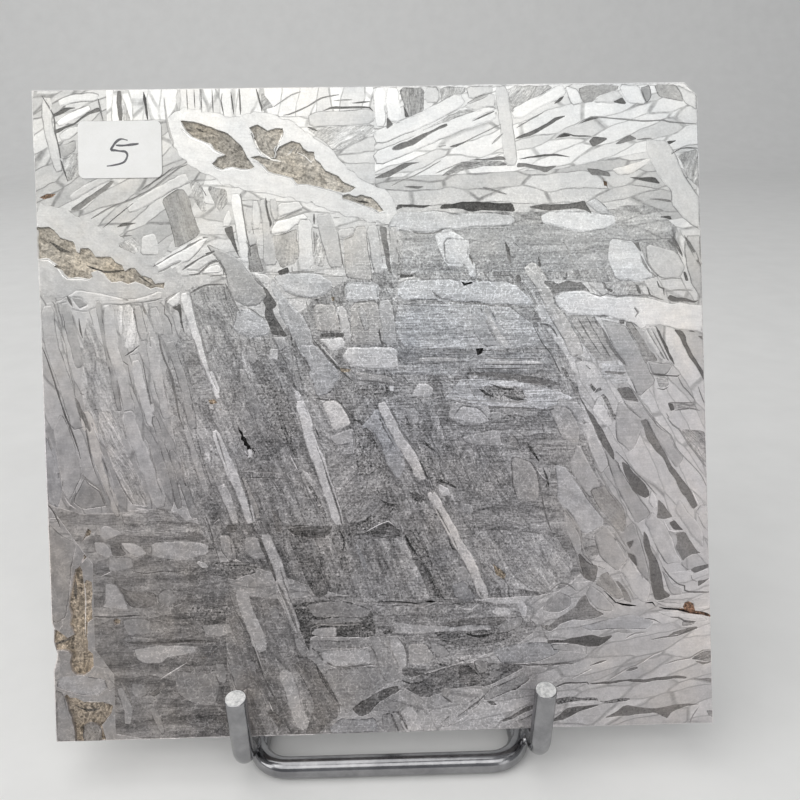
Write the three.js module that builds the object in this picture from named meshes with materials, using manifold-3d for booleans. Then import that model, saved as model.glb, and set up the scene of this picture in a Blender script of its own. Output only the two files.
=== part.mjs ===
// An etched slice of an iron meteorite, leaning on a small easel of chromed wire.
// Millimetres, +Z up. The etched face looks towards -Y and leans back. The origin is under the
// middle of the whole object, on the surface that the easel stands on.
import * as THREE from 'three';
import { mergeVertices } from 'three/addons/utils/BufferGeometryUtils.js';
import Module from 'manifold-3d';

const wasm = await Module();
wasm.setup();

// Slice
const SLICE_THICKNESS = 3.5;
const SLICE_LEAN = 20; // degrees back from upright
const EDGE_BREAK = 0.2; // the ground edge between each face and the rim
const BOTTOM_RIGHT = [100.5, 0]; // measured on the face from its lower left corner
const TOP_RIGHT_CLIP = [[99.35, 96.4], [97.3, 98.35]];
const TOP_LEFT = [-1.1, 98.2];
const CRUMBLED_EDGE = [[-0.22, 18.2], [0.12, 17.1], [0.02, 15.2], [0.5, 13.4], [0.3, 12.3], [-0.12, 11.0]];

// Rough nodules of iron sulphide and phosphide, as outlines on the face
const LONG_NODULE_HEAD = [
  [21.0, 93.5], [23.3, 93.1], [28.0, 91.4], [30.2, 89.2], [31.0, 87.6], [32.6, 88.0], [34.0, 87.5],
  [35.6, 88.3], [37.4, 89.9], [38.9, 89.5], [41.0, 88.3], [41.8, 86.6], [44.6, 84.7], [46.4, 83.2],
  [45.6, 82.2], [42.4, 82.9], [38.2, 83.7], [36.2, 84.9], [33.6, 85.7], [32.4, 87.1], [31.8, 86.2],
  [28.5, 86.3], [26.0, 86.4], [25.7, 87.0], [27.6, 88.2], [26.0, 88.9], [25.2, 90.0], [22.4, 91.0],
];
const LONG_NODULE_CROWN = [
  [31.3, 92.4], [32.6, 92.4], [34.0, 91.6], [36.3, 91.9], [36.1, 90.7], [34.5, 88.5], [33.6, 88.2],
  [32.4, 89.4],
];
const LONG_NODULE_TAIL = [
  [45.0, 81.9], [48.0, 81.9], [50.3, 80.7], [51.2, 79.4], [49.5, 79.9], [46.8, 80.9], [45.0, 81.5],
];
const EDGE_NODULE = [
  [-2.0, 77.8], [0.9, 77.8], [2.6, 76.2], [4.6, 75.5], [5.0, 74.0], [6.8, 74.4], [7.8, 73.2], [10.1, 73.2],
  [12.1, 71.1], [13.7, 71.4], [16.0, 69.9], [18.1, 69.1], [17.6, 68.2], [15.9, 68.2], [13.6, 69.3],
  [10.0, 69.3], [8.0, 71.1], [7.0, 69.8], [3.5, 70.1], [2.0, 72.0], [0.7, 73.0], [-2.0, 73.0],
];
const CORNER_VEIN = [
  [4.3, 26.9], [3.1, 25.0], [2.4, 20.5], [2.6, 17.0], [2.2, 15.9], [0.9, 16.9], [-1.5, 17.4], [-1.5, 14.2],
  [2.2, 13.8], [2.5, 11.5], [3.4, 10.1], [5.3, 10.5], [6.0, 11.5], [5.2, 14.2], [5.3, 18.0], [6.0, 19.0],
  [6.1, 24.2], [5.2, 24.7], [4.7, 26.0],
];
const CORNER_CUP = [
  [1.4, 7.0], [2.3, 6.9], [4.2, 6.0], [8.7, 5.4], [7.3, 2.6], [7.6, -1.5], [2.9, -1.5], [2.5, 3.6],
];
// depth is how far the rough floor lies below the face. reach is how far the nodule's centre has
// drifted where it comes out on the other face, and shrink how much narrower it is there.
const NODULES = [
  { outline: LONG_NODULE_HEAD, depth: 0.55, reach: [1.2, -0.8], shrink: 0.88 },
  { outline: LONG_NODULE_CROWN, depth: 0.45, reach: [0.6, 0.4], shrink: 0.6 },
  { outline: LONG_NODULE_TAIL, depth: 0.4, reach: [-0.8, 0.6], shrink: 0.8 },
  { outline: EDGE_NODULE, depth: 0.6, reach: [-0.6, 0.5], shrink: 0.9 },
  { outline: CORNER_VEIN, depth: 0.6, reach: [0.3, -0.6], shrink: 0.8 },
  { outline: CORNER_CUP, depth: 0.5, reach: [0.4, 0], shrink: 0.9 },
];
const FLOOR_CELL = 1.3; // size of the facets of a nodule's rough floor
const FLOOR_ROUGHNESS = 0.38; // share of the depth by which the floor goes up and down

// Paper label
const LABEL_SIZE = [12.4, 8.5];
const LABEL_CENTRE = [11.9, 89.15];
const LABEL_CORNER = 0.9;
const LABEL_THICKNESS = 0.12;
const LABEL_LIFT = 0.05;

// Easel wire
const WIRE = 3.2;
const WIRE_SIDES = 12;
const CONTACT_GAP = 0.15;
const HOOK_SPACING = 44.9; // between the centres of the two hooks
const HOOK_BEND = 3.0; // radius of the wire's centre line
const HOOK_HEIGHT = 4.6; // wire centre of the runs under the slice
const PRONG_FRONT = 1.45; // from the slice's bottom front edge forward to the prong's corner
const PRONG_TILT = 7.7; // degrees forward from upright
const PRONG_LENGTH = 13.3; // from the corner to the cut end
const UPRIGHT_CLEARANCE = 1.0; // between the slice's back and the upright at its foot
const UPRIGHT_LEAN = 19.2;
const UPRIGHT_LENGTH = 62;
const ARCH_BEND = 16;

const RING_WIDTH = 41.4; // between wire centres
const RING_DEPTH = 50;
const RING_BEND = 5;
const RING_FRONT = 0.4; // from the slice's bottom front edge forward to the front bar's centre
const RING_SHIFT = -0.4; // the ring is welded on a little off the frame's middle
const EASEL_SHIFT = 0.65; // the easel's middle, right of the middle of the slice's lower edge

const BEND_STEP = 15; // degrees of bend between two stations along a wire

const rad = THREE.MathUtils.degToRad;
const radius = WIRE / 2;

// Turns a closed three.js geometry into a solid that can be joined and cut.
function toSolid(geometry) {
  const bare = geometry.clone();
  bare.deleteAttribute('normal');
  bare.deleteAttribute('uv');
  const merged = mergeVertices(bare, 1e-5);
  return new wasm.Manifold(new wasm.Mesh({
    numProp: 3,
    vertProperties: new Float32Array(merged.attributes.position.array),
    triVerts: new Uint32Array(merged.index.array),
  }));
}

function toGeometry(solid) {
  const mesh = solid.getMesh();
  const geometry = new THREE.BufferGeometry();
  geometry.setAttribute('position', new THREE.BufferAttribute(new Float32Array(mesh.vertProperties), 3));
  geometry.setIndex(new THREE.BufferAttribute(new Uint32Array(mesh.triVerts), 1));
  geometry.computeVertexNormals();
  return geometry;
}

// A repeatable value between -1 and 1 for a place on the face.
function roughness(x, y) {
  const wave = Math.sin(x * 12.9898 + y * 78.233) * 43758.5453;
  return 2 * (wave - Math.floor(wave)) - 1;
}

// The body that is taken out of the slab for one nodule: its outline down to an uneven floor.
// The face is at z = 0 and the slab below it.
function nodulePit(outline, depth) {
  const margin = 1;
  const shape = new THREE.Shape(outline.map(([x, y]) => new THREE.Vector2(x, y)));
  const wall = new THREE.ExtrudeGeometry(shape, { depth: 2 * depth + margin, bevelEnabled: false });
  wall.translate(0, 0, -2 * depth);

  const box = new THREE.Box2().setFromPoints(shape.getPoints());
  const size = box.getSize(new THREE.Vector2()).addScalar(2 * margin);
  const middle = box.getCenter(new THREE.Vector2());
  const height = depth + margin / 2;
  const block = new THREE.BoxGeometry(
    size.x, size.y, height, Math.ceil(size.x / FLOOR_CELL), Math.ceil(size.y / FLOOR_CELL), 1);
  block.translate(middle.x, middle.y, height / 2 - depth);
  const position = block.attributes.position;
  for (let i = 0; i < position.count; i += 1) {
    if (position.getZ(i) < 0) {
      const rough = roughness(position.getX(i), position.getY(i));
      position.setZ(i, -depth * (1 + FLOOR_ROUGHNESS * rough));
    }
  }
  return toSolid(wall).intersect(toSolid(block));
}

// The same nodule where it comes out on the back face, moved and narrowed about its own centre.
function backPit({ outline, depth, reach, shrink }) {
  const centre = outline.reduce(([sx, sy], [x, y]) => [sx + x / outline.length, sy + y / outline.length], [0, 0]);
  const moved = outline.map(([x, y]) => [
    centre[0] + reach[0] + shrink * (x - centre[0]),
    centre[1] + reach[1] + shrink * (y - centre[1]),
  ]);
  return nodulePit(moved, depth).mirror([0, 0, 1]).translate([0, 0, -SLICE_THICKNESS]);
}

function sliceGeometry() {
  const outline = [[0, 0], BOTTOM_RIGHT, ...TOP_RIGHT_CLIP, TOP_LEFT, ...CRUMBLED_EDGE];
  const shape = new THREE.Shape(outline.map(([x, y]) => new THREE.Vector2(x, y)));
  const slab = new THREE.ExtrudeGeometry(shape, {
    depth: SLICE_THICKNESS - 2 * EDGE_BREAK,
    bevelThickness: EDGE_BREAK,
    bevelSize: EDGE_BREAK,
    bevelOffset: -EDGE_BREAK,
    bevelSegments: 1,
  });
  slab.translate(0, 0, EDGE_BREAK - SLICE_THICKNESS);
  let solid = toSolid(slab);
  for (const nodule of NODULES) {
    solid = solid.subtract(nodulePit(nodule.outline, nodule.depth));
    solid = solid.subtract(backPit(nodule));
  }
  return toGeometry(solid);
}

function labelGeometry() {
  const [width, height] = LABEL_SIZE;
  const left = LABEL_CENTRE[0] - width / 2;
  const low = LABEL_CENTRE[1] - height / 2;
  const r = LABEL_CORNER;
  const shape = new THREE.Shape();
  shape.absarc(left + width - r, low + r, r, -Math.PI / 2, 0);
  shape.absarc(left + width - r, low + height - r, r, 0, Math.PI / 2);
  shape.absarc(left + r, low + height - r, r, Math.PI / 2, Math.PI);
  shape.absarc(left + r, low + r, r, Math.PI, 1.5 * Math.PI);
  const sticker = new THREE.ExtrudeGeometry(shape, {
    depth: LABEL_THICKNESS, bevelEnabled: false, curveSegments: 5,
  });
  sticker.translate(0, 0, LABEL_LIFT);
  return sticker;
}

// A wire's centre line: straight runs between corners, each corner rounded with its own radius.
// It is sampled at the ends of the runs and evenly round the bends.
class BentWire extends THREE.Curve {
  constructor(corners, bends) {
    super();
    this.points = [];
    this.tangents = [];
    const last = corners.length - 1;
    const start = corners[1].clone().sub(corners[0]).normalize();
    this.points.push(corners[0].clone());
    this.tangents.push(start);
    for (let i = 1; i < last; i += 1) {
      this.addBend(corners[i - 1], corners[i], corners[i + 1], bends[i - 1]);
    }
    this.points.push(corners[last].clone());
    this.tangents.push(corners[last].clone().sub(corners[last - 1]).normalize());
  }

  addBend(before, corner, after, bend) {
    const into = corner.clone().sub(before).normalize();
    const out = after.clone().sub(corner).normalize();
    const turn = into.angleTo(out);
    const reach = bend * Math.tan(turn / 2);
    const inward = out.clone().addScaledVector(into, -out.dot(into)).normalize();
    const first = corner.clone().addScaledVector(into, -reach);
    const centre = first.clone().addScaledVector(inward, bend);
    const steps = Math.ceil(THREE.MathUtils.radToDeg(turn) / BEND_STEP);
    for (let k = 0; k <= steps; k += 1) {
      const angle = (turn * k) / steps;
      this.points.push(centre.clone()
        .addScaledVector(inward, -bend * Math.cos(angle))
        .addScaledVector(into, bend * Math.sin(angle)));
      this.tangents.push(into.clone().multiplyScalar(Math.cos(angle))
        .addScaledVector(inward, Math.sin(angle)));
    }
  }

  get steps() {
    return this.points.length - 1;
  }

  getPointAt(u, target = new THREE.Vector3()) {
    return target.copy(this.points[Math.round(u * this.steps)]);
  }

  getTangentAt(u, target = new THREE.Vector3()) {
    return target.copy(this.tangents[Math.round(u * this.steps)]);
  }
}

// The wire itself. Its section has flats square to the wire's planes, so it lies on a flat.
function wireGeometry(corners, bends) {
  const cornerRadius = radius / Math.cos(Math.PI / WIRE_SIDES);
  const section = new THREE.Shape();
  for (let k = 0; k < WIRE_SIDES; k += 1) {
    const angle = ((k + 0.5) * 2 * Math.PI) / WIRE_SIDES;
    const point = [cornerRadius * Math.cos(angle), cornerRadius * Math.sin(angle)];
    if (k === 0) section.moveTo(...point);
    else section.lineTo(...point);
  }
  const wire = new BentWire(corners.map((corner) => new THREE.Vector3(...corner)), bends);
  return new THREE.ExtrudeGeometry(section, { steps: wire.steps, extrudePath: wire });
}

// Where the slice stands. Its back bottom edge rests on the runs of wire under it.
const lean = rad(SLICE_LEAN);
const sliceBackDrop = SLICE_THICKNESS * Math.sin(lean);
const sliceFoot = HOOK_HEIGHT + radius + CONTACT_GAP + sliceBackDrop;

// Where the uprights stand: behind the slice's back bottom edge, clear of its back.
const uprightLean = rad(UPRIGHT_LEAN);
const awayFromBack = radius + UPRIGHT_CLEARANCE;
const besideBackY = SLICE_THICKNESS * Math.cos(lean) + awayFromBack * Math.cos(uprightLean);
const besideBackZ = sliceFoot - sliceBackDrop - awayFromBack * Math.sin(uprightLean);
const uprightFoot = besideBackY - (besideBackZ - HOOK_HEIGHT) * Math.tan(uprightLean);
const archY = uprightFoot + UPRIGHT_LENGTH * Math.sin(uprightLean);
const archZ = HOOK_HEIGHT + UPRIGHT_LENGTH * Math.cos(uprightLean);

function frameGeometry() {
  const tilt = rad(PRONG_TILT);
  const tipY = -PRONG_FRONT - PRONG_LENGTH * Math.sin(tilt);
  const tipZ = HOOK_HEIGHT + PRONG_LENGTH * Math.cos(tilt);
  const side = (x) => [
    [x, tipY, tipZ],
    [x, -PRONG_FRONT, HOOK_HEIGHT],
    [x, uprightFoot, HOOK_HEIGHT],
    [x, archY, archZ],
  ];
  const corners = [...side(-HOOK_SPACING / 2), ...side(HOOK_SPACING / 2).reverse()];
  return wireGeometry(corners, [HOOK_BEND, HOOK_BEND, ARCH_BEND, ARCH_BEND, HOOK_BEND, HOOK_BEND]);
}

// The ring is bent from two halves that overlap a little in the side bars and are then one.
function ringGeometry() {
  const half = RING_WIDTH / 2;
  const middle = -RING_FRONT + RING_DEPTH / 2;
  const overlap = 0.5;
  const halfRing = (endY, toward) => {
    const start = middle - toward * overlap;
    return toSolid(wireGeometry([
      [-half * toward, start, radius],
      [-half * toward, endY, radius],
      [half * toward, endY, radius],
      [half * toward, start, radius],
    ], [RING_BEND, RING_BEND]));
  };
  return toGeometry(halfRing(-RING_FRONT, -1).add(halfRing(RING_DEPTH - RING_FRONT, 1)));
}

function strutGeometry() {
  const foot = new THREE.Vector3(0, RING_DEPTH - RING_FRONT, radius);
  const head = new THREE.Vector3(0, archY, archZ);
  const along = head.clone().sub(foot).normalize();
  foot.addScaledVector(along, radius + CONTACT_GAP);
  head.addScaledVector(along, -radius - CONTACT_GAP);
  return wireGeometry([foot.toArray(), head.toArray()], []);
}

const etchedIron = new THREE.MeshStandardMaterial({ color: 0xb4b4b2, roughness: 0.38, metalness: 0.9 });
const labelPaper = new THREE.MeshStandardMaterial({ color: 0xe6e6e4, roughness: 0.8, metalness: 0 });
const chrome = new THREE.MeshStandardMaterial({ color: 0xc4c7ca, roughness: 0.12, metalness: 1 });

function named(name, geometry, material) {
  const mesh = new THREE.Mesh(geometry, material);
  mesh.name = name;
  return mesh;
}

// The whole object, centred over the origin: the slice is its widest piece, and it reaches from
// the prongs' cut ends at the front to the ring's rear bar.
const prongReach = PRONG_FRONT + PRONG_LENGTH * Math.sin(rad(PRONG_TILT)) + radius * Math.cos(rad(PRONG_TILT));
const rearReach = RING_DEPTH - RING_FRONT + radius;
const group = new THREE.Group();
group.position.set(-(TOP_LEFT[0] + BOTTOM_RIGHT[0]) / 2, (prongReach - rearReach) / 2, 0);

const slice = new THREE.Group();
slice.position.set(0, 0, sliceFoot);
slice.rotation.x = Math.PI / 2 - lean;
slice.add(named('meteorite_slice', sliceGeometry(), etchedIron));
slice.add(named('number_label', labelGeometry(), labelPaper));
group.add(slice);

const easel = new THREE.Group();
easel.position.x = BOTTOM_RIGHT[0] / 2 + EASEL_SHIFT;
easel.add(named('easel_frame', frameGeometry(), chrome));
const ring = named('easel_base_ring', ringGeometry(), chrome);
ring.position.x = RING_SHIFT;
easel.add(ring);
easel.add(named('easel_rear_strut', strutGeometry(), chrome));
group.add(easel);

export default group;
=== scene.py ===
# %% [markdown]
# # An etched slice of an iron meteorite on a wire easel
#
# The slice is a saw-cut plate of nickel iron, ground flat and etched with acid. The acid brings out
# the crystals: long plates of bright iron, thin dark seams of nickel-rich metal between them, and
# dark wedges of a fine mixture where plates leave a corner free. The plate leans on a small easel
# bent from chromed wire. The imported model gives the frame, and every piece below is made round it.

# %% The frame
import math
import bmesh
import bpy
from mathutils import Matrix, Vector, noise
from mathutils.geometry import delaunay_2d_cdt


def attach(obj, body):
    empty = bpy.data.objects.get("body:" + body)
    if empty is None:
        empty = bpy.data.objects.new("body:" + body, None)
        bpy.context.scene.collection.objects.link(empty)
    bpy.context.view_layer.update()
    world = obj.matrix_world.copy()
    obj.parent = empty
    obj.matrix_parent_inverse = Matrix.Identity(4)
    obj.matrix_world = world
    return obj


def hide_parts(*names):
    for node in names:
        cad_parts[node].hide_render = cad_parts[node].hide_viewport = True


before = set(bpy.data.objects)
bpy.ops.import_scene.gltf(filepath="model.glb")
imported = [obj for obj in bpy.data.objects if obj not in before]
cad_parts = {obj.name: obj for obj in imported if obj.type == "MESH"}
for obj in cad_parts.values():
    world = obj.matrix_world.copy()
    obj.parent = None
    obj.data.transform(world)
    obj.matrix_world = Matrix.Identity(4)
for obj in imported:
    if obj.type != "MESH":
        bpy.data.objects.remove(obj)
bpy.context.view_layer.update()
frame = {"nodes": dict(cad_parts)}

MM = 0.001
print("nodes:", ", ".join(frame["nodes"]))

# %% [markdown]
# ## Face millimetres
#
# The crystals are drawn in millimetres on the etched face: x to the right from the lower left
# corner, y up the face, z out of it. One matrix leans that flat drawing back by 20 degrees and
# stands it on the easel, so every piece on the slice is made flat first and then placed.

# %% Placing the face
SLICE_CORNER = Vector((-49.7, -23.191, 7.547)) * MM
LEAN = math.radians(20)
FACE_WIDTH = 99
FACE_HEIGHT = 98
THICKNESS = 3.5
EDGE_BREAK = 0.2
FACE_TURN = math.pi / 2 - LEAN

face_to_row = Matrix.Translation(SLICE_CORNER) @ Matrix.Rotation(FACE_TURN, 4, "X") @ Matrix.Scale(MM, 4)


def make_piece(name, bm, materials, replaced=()):
    mesh = bpy.data.meshes.new(name)
    bm.to_mesh(mesh)
    bm.free()
    for material in materials:
        mesh.materials.append(material)
    piece = bpy.data.objects.new(name, mesh)
    bpy.context.scene.collection.objects.link(piece)
    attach(piece, "root")
    if replaced:
        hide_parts(*replaced)
    print(name, len(mesh.polygons), "faces")


# %% [markdown]
# ## Camera
#
# The photograph was taken from close by, 12 cm from the middle of the face and level with its top,
# looking down by 21 degrees, almost square to the leaning face. The camera's place was worked out
# from the slice's four corners, the two prong ends and the easel's front bar. A camera that near
# shows clear perspective, so its distance matters as much as its angle.

# %% The camera
CAMERA_PLACE = Vector((0.75, -117.83, 98.17)) * MM
CAMERA_YAW = math.radians(1.362)
CAMERA_PITCH = math.radians(20.941)
CAMERA_ROLL = math.radians(-0.651)
FOCAL_SHARE = 790 / 800

forward = Vector((
    math.sin(CAMERA_YAW) * math.cos(CAMERA_PITCH),
    math.cos(CAMERA_YAW) * math.cos(CAMERA_PITCH),
    -math.sin(CAMERA_PITCH),
))
level_right = Vector((math.cos(CAMERA_YAW), -math.sin(CAMERA_YAW), 0))
level_up = level_right.cross(forward)
right = level_right * math.cos(CAMERA_ROLL) + level_up * math.sin(CAMERA_ROLL)
up = level_up * math.cos(CAMERA_ROLL) - level_right * math.sin(CAMERA_ROLL)

camera_data = bpy.data.cameras.new("camera")
camera_data.sensor_width = 36
camera_data.lens = FOCAL_SHARE * camera_data.sensor_width
camera_data.clip_start = 0.01
camera_data.clip_end = 20
camera = bpy.data.objects.new("camera", camera_data)
bpy.context.scene.collection.objects.link(camera)
camera.matrix_world = Matrix.Translation(CAMERA_PLACE) @ Matrix((right, up, -forward)).transposed().to_4x4()
bpy.context.scene.camera = camera

# %% [markdown]
# ## Writing shader maths as expressions
#
# A node tree is easier to read as a formula. `Value` wraps a socket and turns each operator into a
# Math node. `Shader` makes the other nodes: settings first, then the values or links of the sockets.


# %% Shader helpers
class Value:
    def __init__(self, shader, socket):
        self.shader = shader
        self.socket = socket

    def maths(self, operation, *others, clamp=False):
        node = self.shader.tree.nodes.new("ShaderNodeMath")
        node.operation = operation
        node.use_clamp = clamp
        for place, item in enumerate((self, *others)):
            self.shader.feed(node.inputs[place], item)
        return Value(self.shader, node.outputs[0])

    def __add__(self, other):
        return self.maths("ADD", other)

    def __mul__(self, other):
        return self.maths("MULTIPLY", other)

    def __sub__(self, other):
        return self.maths("SUBTRACT", other)

    def __rsub__(self, other):
        return (self * -1) + other

    def __pow__(self, other):
        return self.maths("POWER", other)

    def __neg__(self):
        return self * -1

    __radd__ = __add__
    __rmul__ = __mul__

    def limited(self):
        return self.maths("ADD", 0, clamp=True)

    def step(self, low, high):
        return self.shader.node(
            "ShaderNodeMapRange", {"interpolation_type": "SMOOTHSTEP"},
            {"Value": self, "From Min": low, "From Max": high})


class Shader:
    def __init__(self, name):
        self.material = bpy.data.materials.new(name)
        self.material.use_nodes = True
        self.tree = self.material.node_tree
        self.surface = self.tree.nodes["Principled BSDF"]

    def feed(self, socket, item):
        if isinstance(item, Value):
            self.tree.links.new(item.socket, socket)
        else:
            socket.default_value = item

    def node(self, kind, settings=None, sockets=None, output=0):
        node = self.tree.nodes.new(kind)
        for key, setting in (settings or {}).items():
            if key == "stops":
                self.set_stops(node.color_ramp, setting)
            else:
                setattr(node, key, setting)
        for key, item in (sockets or {}).items():
            self.feed(node.inputs[key], item)
        return Value(self, node.outputs[output])

    def set_stops(self, ramp, stops):
        while len(ramp.elements) < len(stops):
            ramp.elements.new(0.5)
        for element, (place, colour) in zip(ramp.elements, stops):
            element.position = place
            element.color = (*colour, 1)

    def object_place(self, **mapping):
        place = self.node("ShaderNodeTexCoord", output="Object")
        return self.node("ShaderNodeMapping", {"vector_type": "TEXTURE"}, {"Vector": place, **mapping})

    def split(self, vector):
        node = self.tree.nodes.new("ShaderNodeSeparateXYZ")
        self.feed(node.inputs[0], vector)
        return [Value(self, output) for output in node.outputs]

    def join(self, x, y, z=0):
        return self.node("ShaderNodeCombineXYZ", sockets={"X": x, "Y": y, "Z": z})

    def attribute(self, name):
        return self.node("ShaderNodeAttribute", {"attribute_name": name}, output="Vector")

    def noise(self, vector, scale, detail=3, roughness=0.55):
        return self.node(
            "ShaderNodeTexNoise", {},
            {"Vector": vector, "Scale": scale, "Detail": detail, "Roughness": roughness})

    def ramp(self, factor, stops):
        return self.node("ShaderNodeValToRGB", {"stops": stops}, {"Fac": factor})

    def blend(self, factor, first, second, kind="MIX"):
        node = self.tree.nodes.new("ShaderNodeMix")
        node.data_type = "RGBA"
        node.blend_type = kind
        for socket, item in zip((node.inputs[0], node.inputs[6], node.inputs[7]), (factor, first, second)):
            self.feed(socket, (*item, 1) if isinstance(item, tuple) and len(item) == 3 else item)
        return Value(self, node.outputs[2])

    def bump(self, height, distance, strength=1.0):
        return self.node(
            "ShaderNodeBump", {},
            {"Height": height, "Distance": distance, "Strength": strength})

    def finish(self, **sockets):
        for name, item in sockets.items():
            self.feed(self.surface.inputs[name.replace("_", " ")], item)
        return self.material


# %% [markdown]
# ## The crystals, drawn one by one
#
# Each line below is one crystal or one line between crystals. A word says what it is. Points are
# x,y in face millimetres. Where a width follows the word, the points are a middle line and the
# crystal is a strip of that width, and a second width is its width at the far end. Where none
# follows, the points are its outline. An angle after @ turns the fine lines inside it, and a whole
# number with a sign makes that one crystal lighter or darker, in hundredths. An indented line goes
# on with the points of the line above it.
#
# The words, from light to dark: bright, light and plain are plates of iron, haze is a bluish plate,
# olive a warm one and grey a dull one. Ground and halo lie behind the plates. Field, scratch, comb,
# dusk and shade are fine mixtures with a grain, taupe and wedge are the dark smooth ones, and rough
# is pitted. Seam is the dark line of nickel-rich metal, glint a painted highlight along a lit edge,
# crack an open crack, soot a black mark, and rust and speck are stains. Nodule and gold are the brown
# lumps of sulphide, which have weathered out below the face, with island, hollow and vein inside them.

# %% The large fields under the plates
GROUND = """
ground @30 | -1,98.3 20,98.3 26,90 24,83 16,70 -1,78
ground @86 | 10,98.3 60,98.3 58,95.2 40,93.8 28,93.8 10,93.4
ground @18 | 50,98.3 100,98.3 100,88 86,87 50,80
ground @2 | 50,84.4 78,85.4 92,88 99,84 99,78 86,76.4 50,76.4
ground @-60 | 84,76 100.5,76 100.5,18 86,24 80,34 80,48 76,62 72,75
ground @14 | 56,20.4 100.5,24 100.5,-0.2 54,-0.2 60,8 68,14
ground @-72 | -0.9,68.8 21,68.6 22,47 18,34 -0.3,34
halo | 18.6,93.4 21,95.3 25,94.8 29,93.6 31,94.6 34,94.4 37.8,93 40.6,91 43.6,88.6 47.4,84.6 52.4,82.2
    53.6,79 52,77.3 48,78.2 43,79.6 39,81.2 34,82.2 30,83 26,84.2 22.6,86.6 20,89
halo | -0.9,81.6 3,80.6 8,77.9 12,75.8 15.6,74 19,72 21.2,69.4 19.8,66.8 15,66 9,67.4 3.8,67 -0.9,67.6
halo | 0.8,9.8 1.2,19 1.4,27 4.4,33.6 7,33 7.4,27 7.6,18 7.4,11 8.8,9.4 9.8,8.6 9.3,6.6 10.3,4.6 11.1,3
    10.1,1.6 9.6,-0.2 0,-0.2 0.4,8
field @-68 | 21.5,68.5 27,68.9 29.3,64 35,61 40,66 45,69 52.6,71 54,79 70,79 86,79 96,77 96,71 92.5,68.6
    84,68 76,69 74,63 78,58 80,54 81,48 82.5,40 85.5,34 84,30 82,25 76,20.5 60,20 52,20.5 44,21 30,26
    24,29 22,33 19,45 17.5,55 20,61
scratch @0 | 54,76.6 63,76.8 72,77 86,77.6 89.5,74.3 86,70.5 78,69.8 66,70 54,70
scratch @0 | 53.2,65.4 65.2,65.1 70,64.6 73.5,62 76,58.6 66,58.2 54,58.7 52.4,62
scratch @0 | 50.3,58.6 66,58 76,57.4 77.2,54.5 63.4,54.3 52,54.7 50,57
scratch @0 | 64.2,53.8 71,53.3 77.4,51.6 79.6,50.6 76,48.9 66,49.8 60,51 62.5,53.8
dusk @2 | 0,36 5,34.5 10,34.6 19,34.5 24,30 27,23 30,20 36,12 38,0 14,0 9,1 9,10 6.2,14 6.2,27 4,30
dusk +4 @-72 | 26,22 34,21 38.5,11.5 43,4.5 42,0 28,0 26,10
field @0 | 35,21.5 60,20.6 70,19 74,15.6 70,12.8 60,10 52.5,8 53,14.8 47,14.9 38.6,15.8
rough | 38.5,20.5 44,20.4 48.2,19 48.8,15 47,14.7 38.8,15.2 38.6,12.5 35.8,19.6
field @20 | 52.4,7 56,5 60,6.5 66,6.8 72,9.8 66,10.4 60,10 55,8.6
haze @0 | 45.2,68.7 50.2,68.6 50.3,66 45.2,65.9
shade @0 | 46.2,47 48.5,46.5 50.5,42 51.5,38.5 50.2,35.8 48,37.5 46.8,40 45.9,43.5
shade @10 | 44.8,30 44.8,31.8 47.5,32.6 50,34.9 52,35 51.6,33 50.8,32.2 52.6,31.4 53.5,30 48,29.7
shade 2.4 | 36.6,31 38.4,26.6 40.8,21.2
shade 2.2 | 39.8,31.4 41.4,27 43.4,21.6
shade 1.5 | 42.8,30.6 44,27.4 45.2,23.4
shade @2 | 20.4,19.6 26.6,20.2 27,18.6 23,17.8 20,18.2
shade @0 | 24.2,26.8 30.4,26.6 30.8,24.8 25,24.8
shade @-60 | 53,31 55.4,31 57.8,26 60,20.4 57.4,20.4 55,25.6
shade 2 | 56.2,45.4 57.4,41.4 59.4,36.4
shade 1.2 | 54.6,36.8 56,35 57.4,33.6
shade @2 | 57,15.6 66.5,16 70,14.4 66,12.8 60,13
shade @-60 | 60.6,10.2 65.6,10.4 65,7.2 61.2,7.4
field @0 | 58,51 76,49 80.5,48 82.3,41 86,30.5 82,25 77,21 68,22 65,30 62,38 60,44
field @-60 | 59.4,43.6 62.4,46 66,44.6 69.8,42.4 70,37 69.4,34.6 65.6,35.4 62.6,38.6 60.8,41
field @-55 | 63.6,30.4 69,30.6 76.4,29.6 79.4,25 76,20.8 70,21.6 66,22 64.4,26.6
"""

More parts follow.
